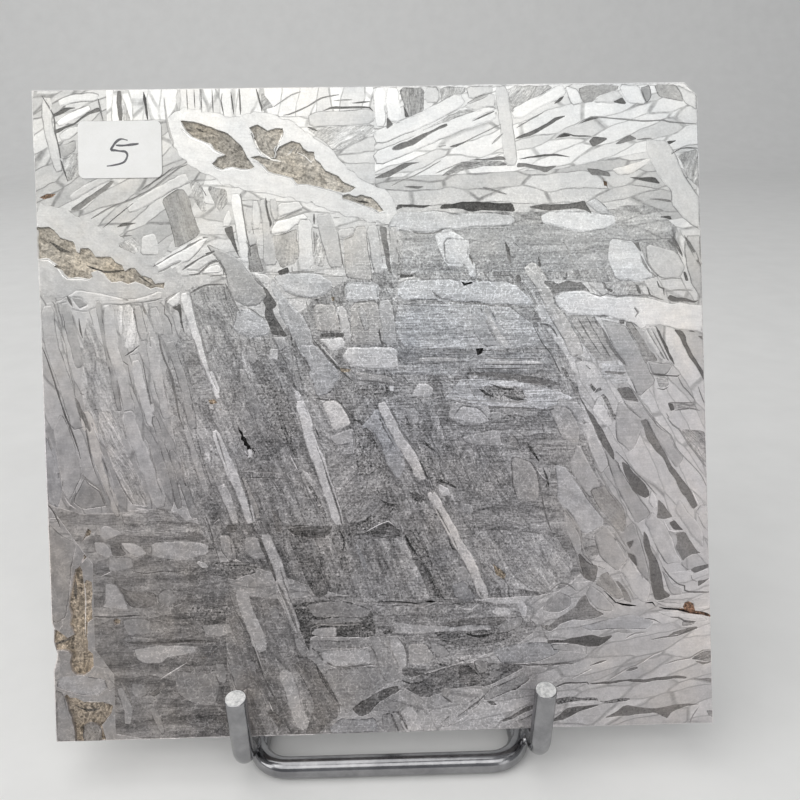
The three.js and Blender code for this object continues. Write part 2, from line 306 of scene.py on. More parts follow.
# %% The top left quarter
TOP_LEFT = """
wedge | 2,94.1 2.1,94.7 4,95.6 5.6,95.5 4.5,95.2 3,94.5
wedge | 2.3,91.5 2.3,92.2 4,92.8 5.2,93.3 6.9,94.6 8.7,95.6 9.2,95 7.4,94.5 5.3,93.1 4,92.4
seam .25 | 8.8,96.9 9.1,95.2 9.5,93.4
seam .25 | 0.5,97.3 2.1,94.4 2.3,92 2.8,89.5 3.2,87 4,84.5
grey | 2.7,89.6 5.3,90.8 5.4,89.2 3.4,87.9
comb @60 | 3,87.3 5.4,89 5.6,86 5.9,85.3 3.9,84.5
wedge .75 .7 | 11.9,97.9 12.05,93.5
comb @88 | 12.3,97.9 12.4,93.5 13.6,93.5 12.6,97
wedge .4 | 15.6,97.7 16.1,93.6
seam .25 .5 | 18.6,96.8 19.1,92.5 19.9,89.4
grey .5 | 20.75,98 20.75,95.2
seam .16 | 22,98 22.1,95
seam .16 | 23.1,98 23.2,95.2
seam .16 | 24.1,98 24.2,94.6
seam .16 | 25.8,98 25.9,94.5
wedge | 4.3,80.2 4.6,80.6 10.4,84.5 10.9,84.4 10.6,83.9 5.2,80
seam .3 | 7.3,78.9 10.4,80.6 13.2,81.6 15.5,82.7 17.6,84 18.8,85 20.5,86.2 21.8,86.8
seam .2 | 15,83.2 17.3,84.6 19.8,86.5
seam .14 | 9,77.5 14,81.5
bright 1.3 | 3,96.2 5.6,96.9 8.9,97.1
bright 1.2 | 2.7,93.1 5,94.2 7.6,95.5
bright 1.5 | 3,91 5.8,92.4
light 1.2 | 4.4,82 7.4,83.8 10.4,85.2
light 1.7 | 12.8,80.2 15.5,81.5 18.6,83.3 21.8,84.9
light 1.5 | 1.2,97 1.2,93.4 2,89.6 2.8,86
plain | 14.4,73.4 14.8,76.2 16.6,76.6 17.2,75 17.4,73.2
comb @-50 | 11,74.8 13.3,76 14.5,76.2 14,73.4
wedge | 11,77.6 12,78.2 14.2,78.2 12.5,77.8
seam .25 | 11.6,76.2 13.3,76.3
seam .35 | 17.4,77.9 18,77.9
taupe +9 @-70 | 17.9,81.6 20,83 21.2,83.1 21.8,82.4 22.4,80 23.6,76.3 19.7,74.2 19.5,75.8 18.9,78.7
comb @70 | 22,84.5 23.8,84 24.6,80 24,79.6 22.6,82
wedge .45 | 23.9,83.3 24.6,82.1
bright | 16.5,72 19.8,73.9 23.8,76 24.8,75.7 22,72.4 20.3,71.8 17.2,71
bright | 20.9,71.6 22.2,72.5 24,73.5 25.9,73.6 26.2,72.4 24.8,72 23.2,70.9 21.6,70.9
bright | 22.8,70.4 25,71.6 26.3,71.9 26.7,70.5
seam .3 | 16.4,71.6 19.8,73.6 23.9,75.8 24.7,75.9
seam .35 | 17.1,70.7 19,71.6 20.5,72.3
seam .35 | 20.7,71 22.2,72.1 24,73.2 25.5,73.7
seam .35 | 21.7,70.3 23.2,70.4 24.8,71.9 26.3,72.2 26.9,71 26.9,70.2
seam .25 | 24.8,70 27.3,70.2
"""

# %% The middle of the top
TOP_MIDDLE = """
seam .2 | 27.3,97.4 27.1,96.3 27.5,94.1
seam .2 | 28.6,97.6 29,94.2
seam .3 | 29.9,98 30,94.2
wedge .3 | 32.4,98 33.1,95.3 33.2,94.6
comb @35 | 33.2,97.5 33.2,94.6 35,95.2 34.5,96
seam .25 | 35,95.3 37.7,97 39.1,97.5
seam .25 | 36.4,94 37.2,94.1 40.1,95.3 42.2,96.5 44.8,97
wedge .3 | 42.4,94.6 43.5,95 49.4,95 49.9,94.5
seam .2 | 44,96.1 46.8,96.2
seam .2 | 46.8,95.7 49.5,95.9
bright 2.4 | 40.2,93.2 50,93.7
comb +7 @30 | 40,92.2 50,92.3 50.2,91.2 44,88.4 42.5,90 40,91.9
wedge .4 | 40,92.2 41.5,91.6
bright 1.7 | 51,98 51,92.1
bright 2 | 52.9,98 53,92.8
wedge | 52,93.5 52.9,92.4 51.9,91.8
comb @60 | 24.6,83.6 27.6,82.9 27.8,81 26.5,79.5
bright 1.5 | 28.9,82.3 29.6,77 30.3,72
seam .25 | 29.7,82.3 30.4,77 31,73
wedge | 27,77.1 28.3,77.6 28.6,76 29.5,72.5 28.6,74.2
bright | 27.1,78.5 27.9,80 28.3,78.4 28,77.5 27,77.3
bright .8 | 30.8,80 30.9,76.5
bright 1.1 | 31.9,81.3 32.1,77
bright 1.3 2.3 | 33,81.5 33.8,77 34,71.5
light 1 | 34.5,81.5 34.9,78.3
wedge .3 | 31.3,77.5 31.6,76.2
seam .35 | 33.5,81.7 33.7,79.5 34.1,78 34.1,76.8
light | 30.3,75 31.3,76.2 32.1,75.8 32,74.9 31,74.3
taupe | 30.8,74.4 32,74.9 32.3,73 33,70.4 30.7,70.6
bright | 35.2,78.7 35.2,80.8 38.3,81.1 39,80.2 38.8,79.9
bright | 34.2,76.2 34.3,77.3 35,78.1 39,79.3 39.8,78.5 38,77.5 36.3,76.4
seam .35 | 34.9,78.2 37,78.9 38.9,79.8
taupe +5 @80 | 34.3,75.9 36,76.2 38,77 38,75.6 38.4,73.2 37.6,71.6 35.6,71 34.8,73
bright 2.2 | 39.3,78.3 39.3,70.6
seam .4 | 40.7,79.2 40.7,77.6
seam .4 | 40.6,76.5 40.8,74.5 40.5,73.2
comb @75 | 41,76.5 41.3,75.3 42.2,73 41.9,71 40.4,71.5 40.9,74
bright | 41,79 43,79.3 43.5,78.3 44.3,76 44.9,71 42.8,71 41.6,75.5
seam .4 | 43.6,78.5 44.5,78.5
seam .25 | 44.2,76.4 45,71
light | 44.3,76.8 46.8,77 46.4,75.8 45.2,75.4 44.3,75.8
olive | 45,75.3 46.3,75.8 47,77.2 48.5,77.2 48.7,75 49.2,70.5 49.2,69 45.5,69.3 45.3,70
bright 1.7 | 49.4,77.3 50.3,70
wedge | 50.4,77.2 51.6,77 51.6,75 51.9,71 51.5,71 51.2,73.5
"""

# %% The right half of the top
TOP_RIGHT = """
comb @86 | 54,97.9 57.7,97.9 57.6,94.3 55.2,93.3 54.6,95.2
wedge | 54.4,95.5 55.4,93.6 54.8,93.4
bright 2.2 | 58.9,98 58.9,95.6
comb @75 | 60.2,97.9 64,97.9 63.9,97.2 60.3,95.6
bright 2.3 | 50,90.3 57,93 63.5,96.3
light | 64,98 68,98 68.2,97.2 64.5,96
seam .3 | 64.2,95.5 66.3,96.5 68,97
light | 63.7,94.8 64.5,95.4 67.5,96.7 68.4,96.8 68.6,94.5 67,94.1 65.5,94.2
wedge | 52.7,88.7 53,89.2 56,90.3 59,91.9 61,92.6 61.2,92.2 58.5,91 56,89.4 53.8,88.8
comb @25 | 57,91.2 60,92.9 63.5,94.7 66.5,94.3 64,93.4 61,92.2
bright 2.2 | 50,87.2 56,89.5 62,92 68.5,94.2
seam .25 | 64.9,92.8 68.4,94.3
seam .2 | 63.2,89.3 65,90.3 69.1,92.2
seam .3 | 59.7,89 60.8,89.2
wedge | 61.3,88.9 62.5,89 64.8,90.3 63.3,89.6 61.6,89.2
seam .4 | 67.8,89.3 69,90.4 69.4,90.8
wedge | 50,84.6 51.8,85.4 54.2,86.5 56.9,86.8 55.5,86.3 53.5,85.3 52,84.5 50,84.4
seam .2 | 52.5,83.2 53.4,83.7 55.3,84.4 57.4,85.4 60,86.9
wedge | 54.3,83.1 55.5,83.2 57.4,83 56.5,82.7
seam .2 | 59.2,85 63.2,86.6
comb @15 | 61,85.4 63.5,86.8 69.8,86.6 70,86 66,86 60,84.5
wedge | 64,86.9 66,87.1 68.8,87.4 69.6,87.3 69.9,86.8 67,86.9
seam .3 | 66.3,82.8 69.9,81.7
bright 2 | 69.3,98 70.3,90.2 70.7,86
comb @60 | 70.4,98 77.5,98 74,95.6 70.9,93.6
bright 1.9 | 71,93.6 79,97.5
seam .2 | 71.6,91.7 73.7,92.9 75.7,94
wedge | 71.3,90 71.7,90.3 73.5,91.1 76,92.2 77.7,93.3 79.3,93.4 77.5,92.6 75,91.1 73.7,90.5 72.5,90.2
wedge | 71.6,86.9 73.5,87.4 77.2,87.8 80,87.2 77.2,87.5 74,87.2
wedge | 71.5,85.8 71.6,86.4 73.3,86.2 75.8,85.8 77.8,85.9 75.8,84.8 74.8,85.4 73,85.7
wedge -4 | 53,79.5 53.3,80.4 56,80.3 58.5,80.2 57.2,79.8 54.3,80
wedge -8 | 59.7,79.7 60,80.2 63,80.6 65,80.7 68.5,80.3 70.8,80.4 71.2,79 68,79.3 66,79.3 64.5,79.1 62,79.7
wedge -4 | 73.2,79.7 75,80.1 79,80.1 81.8,80.6 82.1,79.8 83,78.6 81.5,79.3 79,79.3 76,79.1
haze +3 | 51.8,77.2 52.6,78.6 54,79.2 57,79.1 59,79.4 62,79 65,78.9 68,78.9 70.6,78.5 71.2,77.6 70.4,76.9
    67,76.8 64,76.6 61,76.2 58,76.1 55,76.3 52.6,76.4
haze +3 | 74.9,78.4 76,79 79,79.2 82,79 84,78.7 86.3,78.3 86.6,77 85,76.2 82,75.7 79,76.2 77,76.8 75.4,77.2
field @10 | 71,78.7 75,78.6 75.4,77 72,76.6 70.8,77
seam .2 | 55.2,76.5 56,76 58.5,75.9 60,76.4 62,76.4
haze +2 | 58.7,76 61.5,76.4 63.5,75 64,73 63.5,71 60.5,71 59.5,73
wedge .3 | 64,72.8 64.6,71.2
wedge .35 | 69.5,74.6 70.4,71.2
light 1.3 | 52.6,77 52.8,71.5
wedge | 77.2,95.2 78.5,95.6 79,96.3 78.2,96.1
bright | 79,98 81,97.5 81.7,95.3 80,95
taupe | 81.2,97.4 82.4,98 87.2,97.9 87.1,97.3 84,96.3 83.2,95.5 81.7,95.4
bright | 83.4,95.4 84.3,96.3 87.2,97.2 88,96 87,95.3
wedge | 86.2,95.4 87.8,96.2 88.4,95.1
bright | 87.3,98 90.3,98 91.5,95 88.6,95.2
grey | 90.5,97.5 92,97.9 92.2,96 91.5,95.2
taupe | 92.8,98 96,98 96.8,96.3 97,95.3 95,95.9 93.3,96.2
bright | 96,98 99.2,96.5 99.3,94 97.5,95 96.9,96
seam .2 | 81,92.1 82.9,93.2 86.8,92.9 91.3,92.5 94,92.6 95,92.3 99,92
wedge | 81.1,92.1 82.8,93.2 84.5,93.1 83,92.8
seam .2 | 77.5,90 78.8,90.8 80.3,90.4 82.9,90.3
wedge | 77.5,90.1 78.8,90.9 80,90.4
wedge | 82.6,89.5 83.4,90.2 85.6,90 83.2,88.6
wedge | 86.4,89 88.6,90.4 90,89.8 88.5,89.4
seam .25 | 90,89.7 92.2,89.9
wedge | 94.5,89.4 96.1,89.5 94.9,88.9
seam .25 | 95.3,87.5 96.8,88.3 99.3,88.3
comb @70 | 96.2,87.2 99.3,88.2 99.6,82 97.5,84 97,86
light | 91.5,89.8 94.5,89.5 96,87 97.3,84 99.6,80.5 99.8,75.5 97,77.5 95,80 95,82 93,84.5 92,86.5 91.3,88.3
olive | 86,85.3 88,85.7 91.8,86.9 92,86.3 89,84.5 87,84.3
wedge | 82.1,85.5 83.5,85.3 85.6,84.8 85.8,84.2 84,84.4 82.8,84.5
wedge | 88.5,83.9 90,84 92.5,84 93.4,82.9 91.2,83.5
wedge | 91.3,80.8 95,80.6 95,80.2
wedge | 93.2,78 95,78.2 95.2,77.5
wedge | 89,74.2 89.8,74 90.3,72.7
haze | 82,80.2 83.5,81 85,79.6 86,78.3 84,78.5
field @0 | 86,79.6 92,79.8 95,77 95,74.4 91,74 86.5,74.4
seam .3 | 95,75 96.7,71.8
seam .25 | 97,75.1 98.8,71.5
"""

# %% The left side below the long nodule
LEFT_MIDDLE = """
light | 0,66 3,67 5,68.4 9,67.6 13,66.6 17.6,68 17.5,66.6 12,65.9 8.6,66 6,64.9 3.3,65.6 1.4,66.7
seam .3 | -0.5,59.8 0.2,58 1.2,54.5 2.5,50 3.6,47 4.4,44.6 4.8,42.9
light 1.9 2.2 | 0.4,66 0.9,60.3 2.5,55 4.1,49.5 4.6,47.4
seam .4 .3 | 1.3,66.6 1.9,64.5 2.5,61.6 3,60.2
seam .18 | 3,60.2 3.5,56.5 4.2,53
wedge .5 | 4.3,52 5.2,49.6 6.3,47
light 1.5 | 3,66.4 3.7,62.8 4.6,59 5.1,56.6
wedge .4 | 3.4,67.4 4.2,65.8
grey | 4,67.3 5.5,67 6.5,66 5.2,65.5
seam .3 | 5.1,64 5.3,62 5.6,61
field @-74 | 6.4,64.5 7.4,62.4 8.6,59 9.5,56 11,50 12.2,45.5 8.8,46.4 6.5,47 5.2,52.5 5.4,57.5 5.8,61.5
grey .9 | 8,66.6 8.6,62.5 9.8,56 10.8,50
light 1.8 | 9.4,66 10,60 11.9,52 12.8,47
field @85 | 10.7,65.9 13.1,65.8 14,60.3 14.1,59.5 11.7,59.5 11.2,62
light 1.4 | 13.8,65.8 14.3,63 14.8,60.5
wedge .35 | 14.7,65.8 15.1,64.4
wedge .3 | 15.4,65.3 15.6,64.2
light 1.6 | 16.2,65.5 16.8,63 17.2,61.2
seam .16 | 15.2,63.5 15.5,61 15.7,59.6
light 1.4 | 18.6,60.3 19.6,57 20.6,53.5 21.3,50 21.8,47
plain 1.6 | 15.7,61 16.2,57 17.1,53 18,48.6
plain 1.6 | 13.3,57.6 14,54 14.9,50.6 15.8,47.5
seam .45 .35 | 16.9,61.3 17.4,58.7 18.1,56.6 18.8,54.5 19.3,51.8 19.8,48.7 20.4,47
wedge .5 | 11.6,57.4 12.3,56.8
seam .25 | 12.2,57 12.6,54.5 13.3,52
seam .25 | 14.4,57.8 14.8,55.2 15.2,53 15.8,50
seam .3 | 11.8,58.2 13,59 14,59.8
light | 12.2,58.4 13,59.2 13.8,59.6 14,58.8 13.2,58.3
wedge | 19,65.2 19.8,65.6 20.3,66 20.4,63.5 20.9,61.3 20.3,62.8 20,64.8
seam .2 | 18.1,66.5 17.9,64.5 18.4,64 18.9,62.8 19,61.5
seam .35 | 18,66.5 18.8,67 19.7,67.5
bright | 18.1,66.3 20.3,67.9 20.2,66.2 19.2,65.4
bright 1.6 .8 | 20.9,67.6 21.6,64.6 22.6,61 23.7,57 24.9,54 25.7,51.5
seam .35 .25 | 21.7,67.9 22.5,65 23.1,62.4 23.9,58.7 24.6,55.5 25.6,52.9 26.2,51.3
field @3 | 20.6,60.4 22,60.8 23,58 24,55 24.8,52.5 23.6,50 22,54 20.8,57.5
seam .3 | 21.8,67.5 24,68.6 27,68.8
speck | 24.1,51.4 25.1,51.5 25.5,50.9 24.5,50.7
speck .4 | 25.7,50 26.1,49.9
crack .25 | 4.9,52.8 5.6,52.5
crack .25 | 7,50.3 7.7,50.2
"""

# %% The middle of the upper half
CENTRE_TOP = """
light | 24.3,75 29.3,72.6 30.7,70.5 31.6,70 33,68.2 33.2,66.6 32,65.5 30.3,65.3 28.5,66.2 27.5,68.6
    27.2,70.4 26,72.6
seam .45 .25 | 27.1,68.9 27.9,67.2 29.4,64
light | 31.2,70.3 33.2,70.3 34,69.5 33.5,68.6 32.6,68.9
seam .35 | 31.2,70.2 32,69.2 33.2,68
wedge | 32.9,68.3 33.4,68 34.1,66.7 34.9,65.6 34.6,65.1 34.2,64.9 34.3,64 35.4,62.3 36.3,60.5 33.9,61
    33.5,62.3 33,64 33.1,65.3 32.6,66.2 33.2,67
taupe | 33.1,65.9 33.9,66 34.1,64.4 33.3,63.8
seam .22 | 30.3,65.3 31.5,64.5 33,63.3
haze +3 | 28.8,64.8 30.5,65 33,63.2 33.7,61.2 31,60.5 28,62
bright | 34,60.8 36,60.6 36,59 35,58.4 34.6,59.5
haze +4 | 34.2,69.6 36,66.5 38.5,64 40,61 40,58 38.5,57.5 37.2,60.5 35,64.3 35,66 33.8,68.5
haze +5 | 34.5,69.8 36.8,70.5 41,70.2 43,69 43.2,67.8 41.5,66.6 39,66.4 36.5,67.2 35,68.6
seam .22 | 36,67.6 38,66.7 40,66.4 42,66.8
wedge | 35,70.6 36.5,71.3 36.8,70.4 35.3,70
seam .25 | 36.5,70.4 40.5,70.4
wedge .4 | 37.2,71.3 37.2,70.5
seam .25 | 40.5,70.2 42.7,70
haze @0 | 45.2,68.6 50,68.5 50,66 45.2,66
seam .3 | 45.3,66 47,65.8 49.7,66
speck | 43,66.6 43.5,66.6 43.5,66 43.1,66
olive | 40.3,65.5 43.5,65.5 43.8,64 44.6,61.2 41,61.3 40.3,63
seam .3 | 39.2,66 39.7,64 40.1,63
wedge .7 | 41.2,60.8 44.8,60.8
bright | 41,60.3 44.5,60.5 45,59.6 44.6,58.8 43,58.4 42,59.2
bright 1.5 | 44.3,65.2 44.9,62.5 45.4,59.8
olive | 45.9,65.8 50,65.8 50.3,63 51,59.2 45.8,59.2
light .9 | 47.4,65 48.3,61.5
bright 2.1 | 51,66 51.6,62 52,59.2
wedge | 50.2,62.5 50.5,60.5 51,59 50.6,59 50,60.8
plain | 45.5,59 53,58.8 53,55.4 46.6,55.7 44.3,57.6
seam .32 | 40.3,60 41.3,58.8 42.5,57.3 43.5,56.2 44.5,55.2 46,53.8
glint .14 | 40.8,60 41.7,58.9 42.9,57.4 43.9,56.3
speck | 44.1,55.9 45.8,55.6 45.5,55.2 44.3,55.2
olive | 46,55.2 51.8,54.6 52.5,53.2 47.5,53.8
seam .28 | 47,53.9 50,53.5 52.4,53
rough @0 | 46.6,53.4 52.3,52.7 52,51 49,51 46,52.2
glint | 51.5,53 52.2,53 52.2,52.2 51.6,52.2
light .6 | 36.4,58.6 36.9,56.8 37.2,55
seam .25 | 36.8,59 37.1,57 37.3,55 37.6,53
seam .22 | 38.6,57.5 39.5,56 39.8,54.5
haze | 38,59.5 40.5,59.5 43.5,56 44,54.5 42.5,52 40.5,51.5 39.8,54.5 39.3,56.5
bright +3 .9 1.2 | 37.5,52.5 38.3,50 38.9,47
olive +7 | 41.2,50.6 42.5,51.2 43.5,51 45,49 45.5,47.2 42.8,46.3 42,48.8
seam .25 | 40.3,51.3 42,51 43.5,51 45,49.3 45.7,48.4
light | 29.9,59.4 31.5,59.2 31.6,57 30.2,56.9
plain | 33.5,59 34.8,59 34.7,57.2 33.6,57.2
plain 1.1 | 29.3,56 31,51 32.4,46.5
seam .2 | 28,55.5 29.6,51 31.8,46
shade -2 @-68 | 31.5,53.5 34,54.5 36.6,50 37.6,46 36,44.5 33.5,47.5
"""

# %% The middle right, with its level scratches
CENTRE_RIGHT = """
soot .3 | 65.2,52.3 66.4,51.4 67.4,51
soot .35 | 68.8,51.3 70.4,50.7 72,50.5
soot .25 | 66.8,53 69,52.2 70.6,52
soot .25 | 58,51.3 59.4,51.1
soot .2 | 53.6,54.6 54.6,53.2
soot .3 | 69.4,48.2 70.8,47.6
wedge | 51,75 51.8,74.9 52,72 52.3,70 51.8,70.2 51.3,72.5
seam .25 | 53.1,73.6 53.4,72.7 53.3,71.8
wedge | 53.3,69.3 53.5,69.8 55.5,69.8 55.5,69.4
light | 53.4,69.1 55.8,69.6 56,68.8 54.5,68.5 53.2,66.6 52.7,66.4 53,68
haze | 60.2,75 64,75 64.1,73 64.9,71 65.2,70 65,69 64,69.5 63.5,71 60.5,71.3
wedge .35 | 64,72.9 64.2,72.2 64.7,71.2
crack | 62.6,68.8 63.3,68.3 64.5,68.6 64.4,68.3 63.2,68
wedge | 65.3,69.1 65.8,68.9 66,68.7 65.3,68.5
seam .18 | 65.8,69.1 69,69 70,68.4
wedge .45 | 69.6,74.4 70,73.4 70.3,72.3
wedge | 71,69.3 71.7,69.3 71.9,68.4 71.1,68.4
wedge .35 | 71,74.3 71.7,73.6
wedge .3 | 74.6,72.1 74.8,71 74.8,70.5
seam .2 | 67.5,69.5 69.5,69.4 70.5,69.3
haze -4 @0 | 53.5,69 62,69 71,68.3 73,66 73.8,64.8 66,65.2 60,65.7 53,66.1
seam .3 | 58.3,67.2 59.3,66.2 61,65.7 63,65.4 65,65.3 67,64.9 68,64.8
seam .15 | 54,65.2 58,65
haze | 64,64.6 67.2,64.6 69.6,58.8 66,58.6 64.4,61
light 1.1 | 66.3,64.5 67.2,62.5 68.2,60.5 69.5,58.6
seam .16 | 66.8,65 68.2,62 70.2,58.6
seam .16 | 65.6,64.6 66.8,61.8 68.2,59
crack | 64.8,58.4 66,58.5 65.7,57.6 65,57.3
seam .25 | 66,57.1 68,56.8 72,56.6
seam .3 | 54,58.5 55.2,58.5
seam .2 | 57,56.3 59,56.2
plain .7 | 56,56.9 62,56.7
plain .5 | 66,56.2 71,56.1 75,56
seam .14 | 66,55.9 75,55.8
seam .14 | 60,57.8 65,57.8
seam .14 | 63,55.3 74,55.2
wedge -4 .5 1.3 | 63.4,54.6 66,54.5 68.5,54.3 71,53.9 73.5,53.4 77.5,52.7
seam .2 | 63.3,54 63.8,52.5 64.5,51 65.2,50.3
seam .2 | 63.5,56.2 64,55 63.3,54.3
rough +12 @-5 | 65.5,52.8 71.5,52.4 72.6,50.5 66,50.6
seam .3 | 60.8,51.1 62,51 63.5,50.5 66,50.4 70,50.2 73,50.3
seam .2 | 66,49.5 70,49.3 74,49.1
seam .25 | 75,49 76,49.1 77.5,49.2
crack .3 | 71,50.4 72.4,50.5
crack .35 | 69.5,48.2 70,47.8
rough .5 | 53,55.8 54.2,55.4
crack .3 | 55.1,56.1 55.6,56.1
rough .6 | 60.2,53.7 61.3,53.4
light | 55.8,53.3 57.3,53.4 58.2,52.5 58,51.2 56.5,51 55,51.6
seam .3 | 55.2,51.3 56.5,51.1 57.5,51 59.3,51.2
light | 61,50.4 66.5,49.8 67,47.8 62,47 60.3,48
seam .35 | 72,68.2 72.8,67.3 73.3,66.4 74,65.2 74,64
wedge | 73.1,63.5 73.8,64 74.6,63.4
comb @0 | 73.5,63 74.8,62.9 74.9,62.2 73.7,62.2
olive 2.3 | 73,71 75,68.2 77.3,63.4 79.2,60 80.4,57
wedge | 75.4,68.5 76.5,68.5 77.5,68 79,68.4 80.3,68.2 81,68.3 81.8,67.5 82.5,66.6 81.3,67 79.5,66.9
    78,66.7 76.7,66.3 76.3,67.2
seam .25 | 76.8,66.2 77.1,65 78,63.9
seam .3 | 74.8,62 76.3,61.6 77.3,60
glint .12 | 75.2,62.2 76.6,61.8
seam .16 | 73.5,62 75,59 76.2,57.5 77,55.8 77.8,54.2
"""

